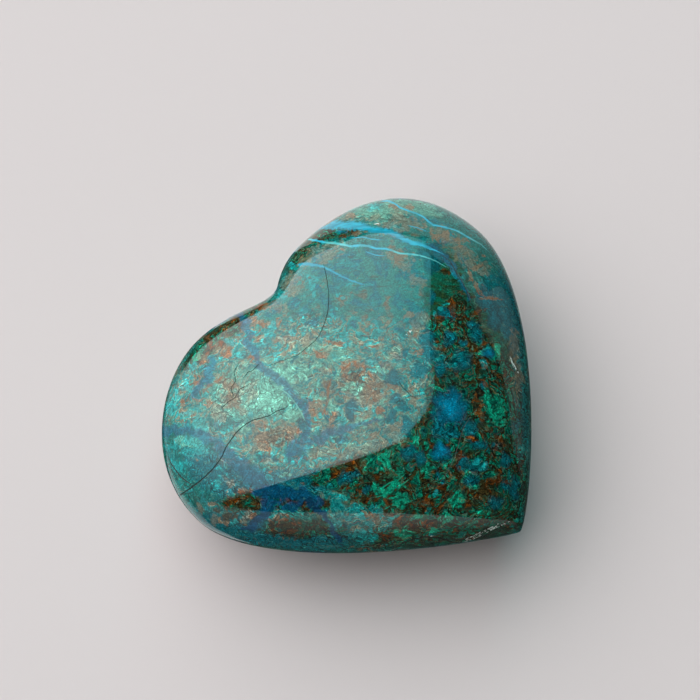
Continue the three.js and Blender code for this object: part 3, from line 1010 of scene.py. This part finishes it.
def add_markings(mesh, target):
    """Writes, for each kind of marking, how far inside it every point of the stone lies."""
    places = point_vectors(mesh.vertices, "co") / MM
    normals = point_vectors(mesh.vertex_normals, "vector")
    x, y = in_picture(places, target)
    sight = target + view_axes()[2] * VIEW_DISTANCE - places
    facing = (normals * sight).sum(axis=1) / np.linalg.norm(sight, axis=1)
    seen = smooth_share(TURNED_AWAY, TURNED_NEAR, facing)
    flat = np.stack([x, y], axis=1)
    bent_x, bent_y = swayed(flat)
    picture = np.where(facing[:, None] > 0, flat, OUT_OF_PICTURE)
    spread = np.where(facing > SCATTER_FACING, 0.0, 1.0)
    rng = np.random.default_rng(SEED)
    fields = {}
    for kind, patches in PATCH_KINDS.items():
        fields[kind] = inside_share(patch_distance(bent_x, bent_y, patches))
    for kind, lines in BROAD_LINES.items():
        shares = inside_share(np.abs(line_distance(bent_x, bent_y, lines)[1]))
        fields[kind] = np.maximum(fields.get(kind, 0), shares)
    for kind, (count, smallest, largest) in SCATTERED.items():
        centres = places[rng.choice(len(places), count, p=spread / spread.sum())]
        wild = scattered_share(places, centres, rng, smallest, largest)
        sheets = sheet_distance(places, picture, SHEETS.get(kind, ()))[1]
        wild = np.maximum(wild, inside_share(np.abs(sheets)))
        fields[kind] = fields[kind] * seen + wild * (1 - seen)
    for kind, patches in WASHES.items():
        wild = swell(places, SEED + len(kind) + len(fields), BROAD_WAVE)
        wild = smooth_share(*WASH_RANGE, wild)
        fields[kind] = wash_share(x, y, patches) * seen + wild * (1 - seen)
    for kind, lines in FINE_LINES.items():
        gap, signed = line_distance(x, y, lines)
        near = np.clip(1 - gap / LINE_WINDOW, 0, 1)
        gap, far_signed = sheet_distance(places, picture, SHEETS.get(kind, ()))
        far_near = np.clip(1 - gap / (LINE_WINDOW / VIEW_SCALE), 0, 1)
        side = np.where(seen > 0.5, signed, far_signed)
        fields[kind + "_side"] = np.clip(side, -SIDE_LIMIT, SIDE_LIMIT)
        held = np.abs(2 * seen - 1)
        fields[kind + "_near"] = np.where(seen > 0.5, near, far_near) * held
    for name, values in fields.items():
        layer = mesh.attributes.new(name, "FLOAT", "POINT")
        layer.data.foreach_set("value", values.astype(np.float32))


# Turns the pattern so that its streaks run across the picture
STREAK_TURN = math.radians(47)
STREAK_STRETCH = (0.28, 1.0, 1.0)
FLOW_STRETCH = (0.6, 1.0, 1.0)
# How far the pattern is pushed about, in millimetres, broadly and finely
BROAD_PUSH = 3.0
FINE_PUSH = 0.6
POLISH = 0.035
DAMAGE_ROUGHNESS = 0.7
STONE_IOR = 1.5
RELIEF = 0.03 * MM
# How much the polish waves against the depth of a crack
POLISH_WAVE = 0.35
CRACK_COVER = 0.92


def chrysocolla(colours):
    """The polished stone: marbling by region, patches, veins and cracks in paint order."""
    material = bpy.data.materials.new(SLOT)
    material.use_nodes = True
    wires = Wiring(material.node_tree)
    times = wires.times
    place = wires.add("ShaderNodeTexCoord", "Object")
    mm = wires.vector("SCALE", place, 1 / MM)
    inputs = {"Vector": mm, "Angle": STREAK_TURN}
    turned = wires.add("ShaderNodeVectorRotate", "Vector", inputs, rotation_type="Z_AXIS")
    streaked = wires.vector("MULTIPLY", turned, STREAK_STRETCH)
    shift = wires.vector("SCALE", wires.noise(mm, 0.4, 2, output="Color"), BROAD_PUSH)
    curl = wires.vector("SCALE", wires.noise(mm, 1.2, 1, output="Color"), FINE_PUSH)
    bent = wires.vector("ADD", wires.vector("ADD", mm, shift), curl)
    flow = wires.vector("MULTIPLY", turned, FLOW_STRETCH)
    flow = wires.vector("ADD", wires.vector("ADD", flow, shift), curl)
    cloud = wires.noise(mm, 0.22, 3)
    swirl = wires.noise(bent, 0.35, 2)
    mottle = wires.noise(bent, 0.7, 3)
    fleck = wires.noise(bent, 1.7, 2)
    dust = wires.noise(mm, 5.0, 2, 0.75)
    streak = wires.noise(streaked, 1.5, 4, 0.6)
    thread = wires.math("ABSOLUTE", wires.math("SUBTRACT", wires.noise(bent, 0.55, 3), 0.5))

    def shade(name, lightness=1.0):
        """The colour with each part raised or lowered by the same share."""
        return (*(min(1.0, part * lightness) for part in getattr(colours, name)), 1.0)

    def blend(value, *stops):
        """Colours that melt into each other; each has its position, name and lightness."""
        node = wires.add("ShaderNodeValToRGB", None, {"Fac": value})
        steps = node.color_ramp.elements
        while len(steps) < len(stops):
            steps.new(0.5)
        for step, (position, name, lightness) in zip(steps, stops):
            step.position = position
            step.color = shade(name, lightness)
        return node.outputs["Color"]

    def coat(paint, share, name, lightness=1.0):
        return wires.mix(share, paint, shade(name, lightness))

    def ragged(name, coarse, fine):
        """How far inside a marking a point lies, with its edge frayed."""
        value = wires.math("SUBTRACT", mottle, 0.5)
        value = wires.math("MULTIPLY_ADD", value, coarse, wires.field(name))
        return wires.math("MULTIPLY_ADD", wires.math("SUBTRACT", fleck, 0.5), fine, value)

    # Body colour and the blue wash
    paint = blend(
        mottle,
        (0.3, "dark_teal", 0.7),
        (0.42, "teal", 1),
        (0.5, "dark_teal", 1.1),
        (0.6, "aqua", 0.75),
        (0.7, "mint", 0.5),
    )
    paint = coat(paint, wires.ramp(cloud, 0.4, 0.6, 0.15, 0.6), "teal")
    paint = coat(paint, wires.ramp(ragged("blue_wash", 1.0, 0.5), 0.25, 0.9, 0, 0.75), "dusk")
    share = wires.ramp(wires.noise(streaked, 2.2, 4, 0.65), 0.53, 0.66, 0, 0.45)
    paint = coat(paint, share, "mint", 0.5)

    # The even lobe, lightly clouded and streaked
    calm = blend(
        wires.noise(bent, 0.45, 3),
        (0.32, "tan", 0.65),
        (0.42, "calm", 1.1),
        (0.5, "calm", 1),
        (0.57, "dusk", 1.2),
        (0.66, "aqua", 0.7),
    )
    calm = coat(calm, wires.ramp(streak, 0.38, 0.62, 0, 0.5), "calm", 0.8)
    calm = coat(calm, wires.ramp(wires.noise(streaked, 3.2, 3), 0.55, 0.68, 0, 0.3), "aqua")
    calm = coat(calm, wires.ramp(wires.noise(streaked, 2.5, 3), 0.56, 0.7, 0, 0.4), "brown")
    paint = wires.mix(wires.ramp(ragged("calm_wash", 1.0, 0.4), 0.3, 0.7), paint, calm)

    # Bright marbling, and a dark one with brown in it
    bright = blend(
        wires.noise(flow, 0.55, 2, 0.45),
        (0.28, "slate", 1),
        (0.37, "teal", 1),
        (0.43, "aqua", 0.8),
        (0.475, "mint", 0.65),
        (0.505, "tan", 0.9),
        (0.535, "calm", 1),
        (0.59, "aqua", 0.9),
        (0.64, "mint", 0.8),
        (0.7, "tan", 1),
    )
    other = blend(
        fleck,
        (0.3, "dark_teal", 1),
        (0.42, "dusk", 1),
        (0.5, "mint", 0.5),
        (0.58, "tan", 0.8),
        (0.68, "calm", 1),
    )
    bright = wires.mix(wires.ramp(swirl, 0.45, 0.58, 0, 0.7), bright, other)
    bright = coat(bright, wires.ramp(thread, 0.02, 0.008, 0, 0.45), "rust", 0.8)
    deep = blend(
        mottle,
        (0.3, "teal", 0.35),
        (0.39, "green", 0.22),
        (0.445, "green", 0.55),
        (0.475, "olive", 0.8),
        (0.51, "brown", 0.65),
        (0.55, "olive", 0.3),
        (0.6, "green", 0.4),
        (0.68, "aqua", 0.4),
    )
    other = blend(
        fleck,
        (0.32, "olive", 0.25),
        (0.44, "brown", 0.4),
        (0.52, "green", 0.2),
        (0.6, "olive", 0.7),
        (0.7, "green", 0.5),
    )
    deep = wires.mix(wires.ramp(swirl, 0.5, 0.6, 0, 0.85), deep, other)
    deep = coat(deep, wires.ramp(thread, 0.026, 0.01, 0, 0.45), "rust", 0.4)
    moss = wires.mix(wires.ramp(streak, 0.4, 0.6), shade("olive", 0.9), shade("green", 0.35))
    deep = wires.mix(wires.ramp(wires.field("soft_wash"), 0.3, 0.8, 0, 0.85), deep, moss)
    share = wires.ramp(ragged("mosaic_wash", 1.0, 0.5), 0.25, 0.65, 0, 0.85)
    paint = wires.mix(share, paint, bright)
    share = wires.ramp(ragged("olive_wash", 0.8, 0.4), 0.3, 0.6, 0, 0.95)
    paint = wires.mix(share, paint, deep)

    # Soft washes over them: how frayed, from where to where they cover, and how well
    for name, coarse, fine, low, high, cover, lightness in (
        ("mint", 1.3, 0.9, 0.35, 0.95, 0.7, 0.75),
        ("tan", 1.4, 1.2, 0.5, 1.1, 0.7, 1.0),
        ("brown", 1.8, 1.4, 0.6, 1.05, 0.8, 1.0),
    ):
        share = wires.ramp(ragged(name + "_wash", coarse, fine), low, high, 0, cover)
        paint = coat(paint, share, name, lightness)

    # Patches of one mineral each, with soft ragged edges
    def patch(paint, name, low, high, coarse, fine, cover, soft=0.14):
        value = ragged(name, coarse, fine)
        inside = wires.ramp(value, 0.5 - soft, 0.5 + soft, 0, cover)
        inner = wires.mix(wires.ramp(fleck, 0.38, 0.6), shade(name, low), shade(name, high))
        return wires.mix(inside, paint, inner)

    def orb(paint, name, low, high):
        value = ragged(name, 0.25, 0.2)
        paint = coat(paint, wires.ramp(value, 0.36, 0.62, 0, 0.8), name, low)
        return coat(paint, wires.ramp(value, 0.55, 0.95, 0, 0.85), name, high)

    paint = patch(paint, "mint", 0.55, 0.95, 0.9, 0.9, 0.75, 0.18)
    share = wires.ramp(ragged("bright_mint", 1.0, 1.0), 0.35, 0.75, 0, 0.7)
    paint = coat(paint, share, "mint", 1.15)
    paint = patch(paint, "green", 0.3, 1.15, 0.9, 0.9, 0.85)
    paint = orb(paint, "dim_blue", 0.65, 1.2)
    paint = patch(paint, "aqua", 0.55, 1.0, 0.9, 0.9, 0.75)
    paint = patch(paint, "tan", 0.7, 1.0, 1.2, 1.2, 0.5, 0.2)
    depth = wires.ramp(wires.field("olive_wash"), 0.25, 0.55)
    firm = wires.ramp(wires.field("soft_wash"), 0.3, 0.8, 1.0, 0.15)
    share = times(wires.ramp(thread, 0.05, 0.015), firm)
    pale = wires.mix(times(share, 0.7), shade("tan", 0.85), shade("rust", 0.8))
    dark = wires.mix(wires.ramp(thread, 0.08, 0.02), shade("brown", 0.55), shade("rust", 0.32))
    inside = wires.ramp(ragged("brown", 1.4, 1.6), 0.38, 0.62, 0, 0.75)
    paint = wires.mix(inside, paint, wires.mix(depth, pale, dark))
    share = times(wires.ramp(ragged("rust", 1.0, 1.6), 0.3, 0.6), wires.ramp(thread, 0.06, 0.02))
    stain = wires.mix(depth, shade("rust"), shade("rust", 0.62))
    share = times(times(share, firm), wires.ramp(depth, 0.0, 1.0, 0.32, 0.5))
    paint = wires.mix(share, paint, stain)
    paint = patch(paint, "slate", 0.7, 1.2, 0.8, 1.0, 0.72, 0.22)
    paint = patch(paint, "deep_blue", 0.9, 1.4, 0.5, 0.5, 0.85, 0.18)
    paint = orb(paint, "blue", 0.45, 1.2)

    # Flakes with a painted shaded edge and a painted highlight along the lip, an embossed look painted
    # into the colour, and the grain
    # Painted highlight and shade: a brightness that dips at each flake's edge and rises on its lip
    def painted_lip_relief(scale, levels, low, high):
        step = wires.math("FRACT", times(wires.noise(flow, scale, 1), levels))
        rising = wires.ramp(step, 0.0, 0.13, low, high)
        return times(rising, wires.ramp(step, 0.14, 0.4, 1.0, 1 / high))

    def joints(scale, width, darkness):
        """Fine dark joints between chips, with a paler rim beside them."""
        inputs = {"Vector": bent, "Scale": scale}
        kind = "ShaderNodeTexVoronoi"
        gap = wires.add(kind, "Distance", inputs, feature="DISTANCE_TO_EDGE")
        dark = wires.ramp(gap, 0.2 * width, width, darkness, 1.0)
        return times(dark, wires.ramp(gap, width, 3 * width, 1.25, 1.0))

    def eased(value, factor):
        """Moves a brightness from 1 towards the value by that factor."""
        return wires.math("MULTIPLY_ADD", wires.math("SUBTRACT", value, 1.0), factor, 1.0)

    # How strongly the painted lip highlight and shade, the joints and the mint specks show
    strength = wires.ramp(swirl, 0.4, 0.6, 1.0, 0.6)
    for name, low, high, least in (
        ("soft_wash", 0.2, 0.8, 0.5),
        ("calm_wash", 0.2, 0.8, 0.25),
        ("blue", 0.4, 0.7, 0.4),
        ("slate", 0.4, 0.7, 0.4),
        ("deep_blue", 0.4, 0.7, 0.4),
    ):
        strength = times(strength, wires.ramp(wires.field(name), low, high, 1.0, least))
    # The flakes' painted highlight and shade, and the dark joints between chips
    painted_lip_shade = times(painted_lip_relief(0.8, 4.0, 0.15, 1.9), painted_lip_relief(1.9, 3.0, 0.3, 1.7))
    net = times(joints(0.8, 0.08, 0.3), joints(1.8, 0.1, 0.45))
    tight = wires.ramp(wires.field("mosaic_wash"), 0.3, 0.7, 1.0, 0.3)
    tight = wires.math("MAXIMUM", tight, wires.ramp(wires.field("brown_wash"), 0.4, 0.8))
    # light: the painted highlight and shade of the lips with the real dark joints, then the grain,
    # multiplied into the colour
    light = eased(times(painted_lip_shade, eased(net, tight)), strength)
    light = times(light, wires.ramp(dust, 0.3, 0.7, 0.65, 1.35))
    paint = wires.vector("SCALE", paint, light)
    speck = wires.ramp(wires.noise(bent, 2.4, 2, 0.6), 0.64, 0.7, 0, 0.6)
    paint = coat(paint, times(speck, strength), "mint", 0.9)

    # Fine lines, from their signed distance
    def line(name, wobble, soft=1.3, sharp=0.5):
        value = wires.math("SUBTRACT", fleck, 0.5)
        value = wires.math("MULTIPLY_ADD", value, wobble, wires.field(name + "_side"))
        mask = wires.ramp(wires.math("ABSOLUTE", value), soft, sharp)
        return times(mask, wires.ramp(wires.field(name + "_near"), 0.02, 0.4))

    broken = wires.ramp(mottle, 0.38, 0.56, 0.45, 1.0)
    paint = coat(paint, times(times(line("rusty", 4.0, 1.6), 0.6), broken), "rust", 0.8)
    share = times(times(line("pale", 1.5, 1.4), 0.85), broken)
    paint = wires.mix(share, paint, wires.mix(depth, shade("mint", 1.2), shade("green", 1.3)))
    share = times(line("ice", 1.5, 1.4), wires.ramp(mottle, 0.38, 0.5, 0.6, 0.95))
    ice = wires.mix(wires.ramp(cloud, 0.4, 0.6), shade("sky"), shade("ice"))
    paint = wires.mix(share, paint, ice)
    sky = wires.mix(wires.ramp(streak, 0.4, 0.62), shade("sky", 0.65), shade("sky"))
    paint = wires.mix(times(line("sky", 2.0, 1.4), 0.9), paint, sky)
    crack = line("crack", 1.2, 1.0, 0.2)
    paint = coat(paint, times(crack, CRACK_COVER), "olive", 0.15)
    # Painted glints: white painted over the chipped spots, which are also made rougher and sunk a little
    chip = times(line("chip", 1.2, 1.4, 0.8), wires.ramp(wires.noise(mm, 3.0, 2), 0.47, 0.53))
    paint = coat(paint, chip, "chip_glint_white")

    # Gloss and relief
    damage = wires.math("MAXIMUM", crack, chip)
    rough = wires.math("MULTIPLY_ADD", damage, DAMAGE_ROUGHNESS, POLISH)
    height = wires.math("SUBTRACT", times(wires.noise(mm, 0.13, 2), POLISH_WAVE), damage)
    inputs = {"Height": height, "Strength": 1.0, "Distance": RELIEF}
    relief = wires.add("ShaderNodeBump", "Normal", inputs)
    inputs = {"Base Color": paint, "Roughness": rough, "IOR": STONE_IOR, "Normal": relief}
    shader = wires.add("ShaderNodeBsdfPrincipled", "BSDF", inputs)
    wires.add("ShaderNodeOutputMaterial", None, {"Surface": shader})
    return material


def plain_material(name, screen, roughness):
    material = bpy.data.materials.new(name)
    material.use_nodes = True
    wires = Wiring(material.node_tree)
    inputs = {"Base Color": (*screen, 1), "Roughness": roughness}
    shader = wires.add("ShaderNodeBsdfPrincipled", "BSDF", inputs)
    wires.add("ShaderNodeOutputMaterial", None, {"Surface": shader})
    return material


FLOOR_SIDE = 6.0
FLOOR_ROUGHNESS = 0.9
ROOM_COLOUR = (0.75, 0.95, 1.0, 1)
ROOM_BRIGHTNESS = 0.035
# The softbox's plane: its facing, the way along its right edge, and its near corner,
# for a plane one unit from the stone
SOFTBOX_FACING = (-0.132, 0.806, 0.577)
SOFTBOX_ALONG = (0.594, 0.530, -0.605)
SOFTBOX_CORNER = (0.279, -0.573, 2.598)
SOFTBOX_DISTANCE = 1.2
# Its outline along and across, from the far right corner round the soft near corner
SOFTBOX_OUTLINE = (
    (2.9, -0.1), (1.4, -0.04), (1.22, -0.1), (1.04, -0.24), (0.92, -0.35), (0.8, -0.41),
    (0.66, -0.44), (0.46, -0.37), (0.3, -0.24), (0.14, -0.08), (-0.02, 0.08), (-0.17, 0.27),
    (-0.24, 0.51), (-0.26, 1.0), (-0.25, 5.0), (0.6, 7.0), (5.4, 7.0), (5.2, 4.5), (3.4, 3.1),
    (3.05, 2.75), (2.88, 2.4), (2.8, 1.96), (2.62, 1.69), (2.54, 1.42), (2.58, 1.12),
    (2.64, 0.79), (2.72, 0.44),
)
# Where the softbox is brightest, how far that reaches in metres and how much brighter it
# is there, and then how bright its right edge is against the rest
SOFTBOX_HEARTS = (((1.4, 1.75), 0.9, 0.5), ((0.15, -0.1), 0.75, 0.4))
SOFTBOX_EDGE = 0.8
# Its colour along its right edge and everywhere else, and where the one becomes the other
SOFTBOX_EDGE_TINT = (0.32, 0.9, 0.95, 1)
SOFTBOX_TINT = (0.9, 0.98, 1.0, 1)
SOFTBOX_EDGE_REACH = (0.05, 1.1)
# Where it dims towards its left end, across from the right edge, and how bright it is there
SOFTBOX_LEFT = (1.7, 3.2)
SOFTBOX_LEFT_END = 0.2
# The low cards' outlines: compass turn, lowest and highest elevation in degrees
FRONT_CARD = (
    (-130, -65, -30), (-112, -65, -18), (-101, -65, 2), (-96, -65, 11), (-83, -65, 17),
    (-70, -65, 17.8), (-58, -65, 18.6), (-52, -65, 17.6), (-46, -65, 14.8), (-42, -65, 13.6),
    (-38.5, -65, 12.8), (-35.5, -65, 9.5), (-32.5, -65, 7), (-29.7, -65, 4), (-27, -65, 0),
    (-24, -65, -6), (-19, -65, -7), (-8, -65, -13),
)
SIDE_CARD = (
    (50, -65, -24), (51, -65, -9), (54, -65, 3), (59, -65, 6), (65, -65, 13), (71, -65, 18),
    (78, -60, 26), (84, 8, 27), (90, 11, 27), (116, 18.5, 27),
)
LEFT_CARD = (
    (-150, -75, -40), (-140, -75, -32), (-128, -75, -26), (-112, -75, -24), (-98, -75, -25),
    (-90, -75, -33), (-84, -75, -46),
)
BACK_CARD = (
    (70, -50, 6), (84, -55, 8), (100, -60, 14), (111, -70, 17), (120, -70, 18.5),
    (127, -70, 18), (135, -70, 14), (142, -70, 9), (148, -65, 1), (154, -55, -12),
    (160, -45, -26),
)
# The compass turn where a card is brightest, how far that reaches in degrees, and how
# bright the card is beyond that and at that turn
FRONT_CARD_HEART = (-20, 52, 1.0, 1.6)
BACK_CARD_HEART = (142, 62, 0.0, 1.0)
# How the cards dim: two heights on a ball of one unit, and how bright the card is there
CARD_DIMS = (-0.6, 0.15, 0.08, 1.0)
LEFT_CARD_DIMS = (-0.7, -0.42, 1.0, 0.15)
# How far the cards are from the stone, and how high above the floor their middle is
CARD_DISTANCE = 0.9
LEFT_CARD_DISTANCE = 0.8
CARD_MIDDLE = Vector((0, 0, 0.01))


def glowing_card(name, corners, faces, tint):
    """A glowing card that the camera doesn't see itself, only its light and its gloss."""
    mesh = bpy.data.meshes.new(name)
    mesh.from_pydata([tuple(corner) for corner in corners], [], faces)
    card = bpy.data.objects.new(name, mesh)
    bpy.context.collection.objects.link(card)
    material = bpy.data.materials.new(name)
    material.use_nodes = True
    wires = Wiring(material.node_tree)
    glow = wires.add("ShaderNodeEmission", "Emission", {"Color": tint})
    wires.add("ShaderNodeOutputMaterial", None, {"Surface": glow})
    mesh.materials.append(material)
    card.visible_camera = False
    card.visible_shadow = False
    return wires, glow.node.inputs


def make_softbox(strength):
    facing = Vector(SOFTBOX_FACING).normalized()
    along = Vector(SOFTBOX_ALONG)
    along = (along - facing * along.dot(facing)).normalized()
    across = facing.cross(along)
    corner = Vector(SOFTBOX_CORNER)

    def on_plane(up, side):
        return (corner + along * up + across * side) * SOFTBOX_DISTANCE

    corners = [on_plane(up, side) for up, side in SOFTBOX_OUTLINE]
    faces = [tuple(range(len(corners)))]
    wires, glow = glowing_card("softbox", corners, faces, SOFTBOX_TINT)
    place = wires.add("ShaderNodeTexCoord", "Object")
    inward = wires.vector("DOT_PRODUCT", place, across, "Value")
    edge = corner.dot(across) * SOFTBOX_DISTANCE
    low, high = (edge + reach for reach in SOFTBOX_EDGE_REACH)
    tint = wires.mix(wires.ramp(inward, low, high), SOFTBOX_EDGE_TINT, SOFTBOX_TINT)
    wires.tree.links.new(tint, glow["Color"])
    total = wires.ramp(inward, low, high, SOFTBOX_EDGE * strength, strength)
    low, high = (edge + reach * SOFTBOX_DISTANCE for reach in SOFTBOX_LEFT)
    total = wires.times(total, wires.ramp(inward, low, high, 1.0, SOFTBOX_LEFT_END))
    for middle, reach, gain in SOFTBOX_HEARTS:
        away = wires.vector("DISTANCE", place, on_plane(*middle), "Value")
        total = wires.math("ADD", total, wires.ramp(away, reach, 0.0, 0.0, gain * strength))
    wires.tree.links.new(total, glow["Strength"])


def make_band_card(name, stops, strength, heart=None, dims=None, distance=CARD_DISTANCE):
    """A band between two elevations. Its dims say how it dims with height, and its heart
    where around the stone it is brightest."""
    corners = []
    for turn, low, high in stops:
        for elevation in (low, high):
            corners.append(Vector(outward(turn, elevation)) * distance + CARD_MIDDLE)
    faces = [(2 * i, 2 * i + 2, 2 * i + 3, 2 * i + 1) for i in range(len(stops) - 1)]
    wires, glow = glowing_card(name, corners, faces, (1.0, 1.0, 1.0, 1.0))
    place = wires.add("ShaderNodeTexCoord", "Object")

    def along(ray, toward):
        return wires.vector("DOT_PRODUCT", wires.vector("NORMALIZE", ray), toward, "Value")

    fade = strength
    if dims:
        low, high, least, most = dims
        share = wires.ramp(along(place, (0, 0, 1)), low, high, least, most)
        fade = wires.times(share, fade)
    if heart:
        turn, reach, least, most = heart
        level = wires.vector("MULTIPLY", place, (1, 1, 0))
        edge = math.cos(math.radians(reach))
        share = wires.ramp(along(level, outward(turn, 0)), edge, 1.0, least, most)
        fade = wires.times(share, fade)
    wires.tree.links.new(fade, glow["Strength"])


def make_floor(screen):
    half = FLOOR_SIDE / 2
    mesh = bpy.data.meshes.new("floor")
    corners = [(-half, -half, 0), (half, -half, 0), (half, half, 0), (-half, half, 0)]
    mesh.from_pydata(corners, [], [(0, 1, 2, 3)])
    floor = bpy.data.objects.new("floor", mesh)
    bpy.context.collection.objects.link(floor)
    mesh.materials.append(plain_material("floor", screen, FLOOR_ROUGHNESS))
    floor.visible_glossy = False


def make_world():
    world = bpy.data.worlds.new("studio")
    world.use_nodes = True
    wires = Wiring(world.node_tree)
    inputs = {"Color": ROOM_COLOUR, "Strength": ROOM_BRIGHTNESS}
    glow = wires.add("ShaderNodeBackground", "Background", inputs)
    wires.add("ShaderNodeOutputWorld", None, {"Surface": glow})
    bpy.context.scene.world = world


class HeartStone(bpy.types.Operator):
    """Make the polished heart stone with its markings"""

    bl_idname = "stone.heart_stone"
    bl_label = "Heart stone"

    def execute(self, context):
        sizes = context.scene.stone_sizes
        mesh = domed_stone(sizes, chrysocolla(context.scene.stone_colours))
        mesh.name = PIECE
        add_markings(mesh, view_target(sizes))
        stone = bpy.data.objects.new(PIECE, mesh)
        context.collection.objects.link(stone)
        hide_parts(NODE)
        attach(stone, "root")
        return {"FINISHED"}


class StudioStage(bpy.types.Operator):
    """Make the pale floor, the soft lights and the camera"""

    bl_idname = "stone.studio_stage"
    bl_label = "Studio stage"

    def execute(self, context):
        studio = context.scene.stone_studio
        make_floor(studio.floor)
        make_world()
        make_softbox(studio.softbox)
        make_band_card("front_card", FRONT_CARD, studio.front_card, FRONT_CARD_HEART, CARD_DIMS)
        make_band_card("side_card", SIDE_CARD, studio.side_card, dims=CARD_DIMS)
        make_band_card(
            "left_card", LEFT_CARD, studio.left_card, None, LEFT_CARD_DIMS, LEFT_CARD_DISTANCE
        )
        make_band_card("back_card", BACK_CARD, studio.back_card, BACK_CARD_HEART)
        make_camera(context.scene.stone_sizes)
        context.scene.view_settings.view_transform = "Standard"
        return {"FINISHED"}


class StonePanel(bpy.types.Panel):
    """Lists the stone's sizes, colours and makers"""

    bl_idname = "VIEW3D_PT_heart_stone"
    bl_label = "Heart stone"
    bl_space_type = "VIEW_3D"
    bl_region_type = "UI"
    bl_category = "Heart stone"

    def draw(self, context):
        layout = self.layout
        for name in ("stone_sizes", "stone_colours", "stone_studio"):
            box = layout.box()
            group = getattr(context.scene, name)
            for key in group.__annotations__:
                box.prop(group, key)
        for operator in (HeartStone, StudioStage):
            layout.operator(operator.bl_idname)


CLASSES = (StoneSizes, StoneColours, StudioSettings, HeartStone, StudioStage, StonePanel)


def register():
    for item in CLASSES:
        bpy.utils.register_class(item)
    bpy.types.Scene.stone_sizes = bpy.props.PointerProperty(type=StoneSizes)
    bpy.types.Scene.stone_colours = bpy.props.PointerProperty(type=StoneColours)
    bpy.types.Scene.stone_studio = bpy.props.PointerProperty(type=StudioSettings)


def unregister():
    del bpy.types.Scene.stone_studio
    del bpy.types.Scene.stone_colours
    del bpy.types.Scene.stone_sizes
    for item in reversed(CLASSES):
        bpy.utils.unregister_class(item)


def main():
    register()
    bpy.ops.stone.heart_stone()
    bpy.ops.stone.studio_stage()


if __name__ == "__main__":
    main()
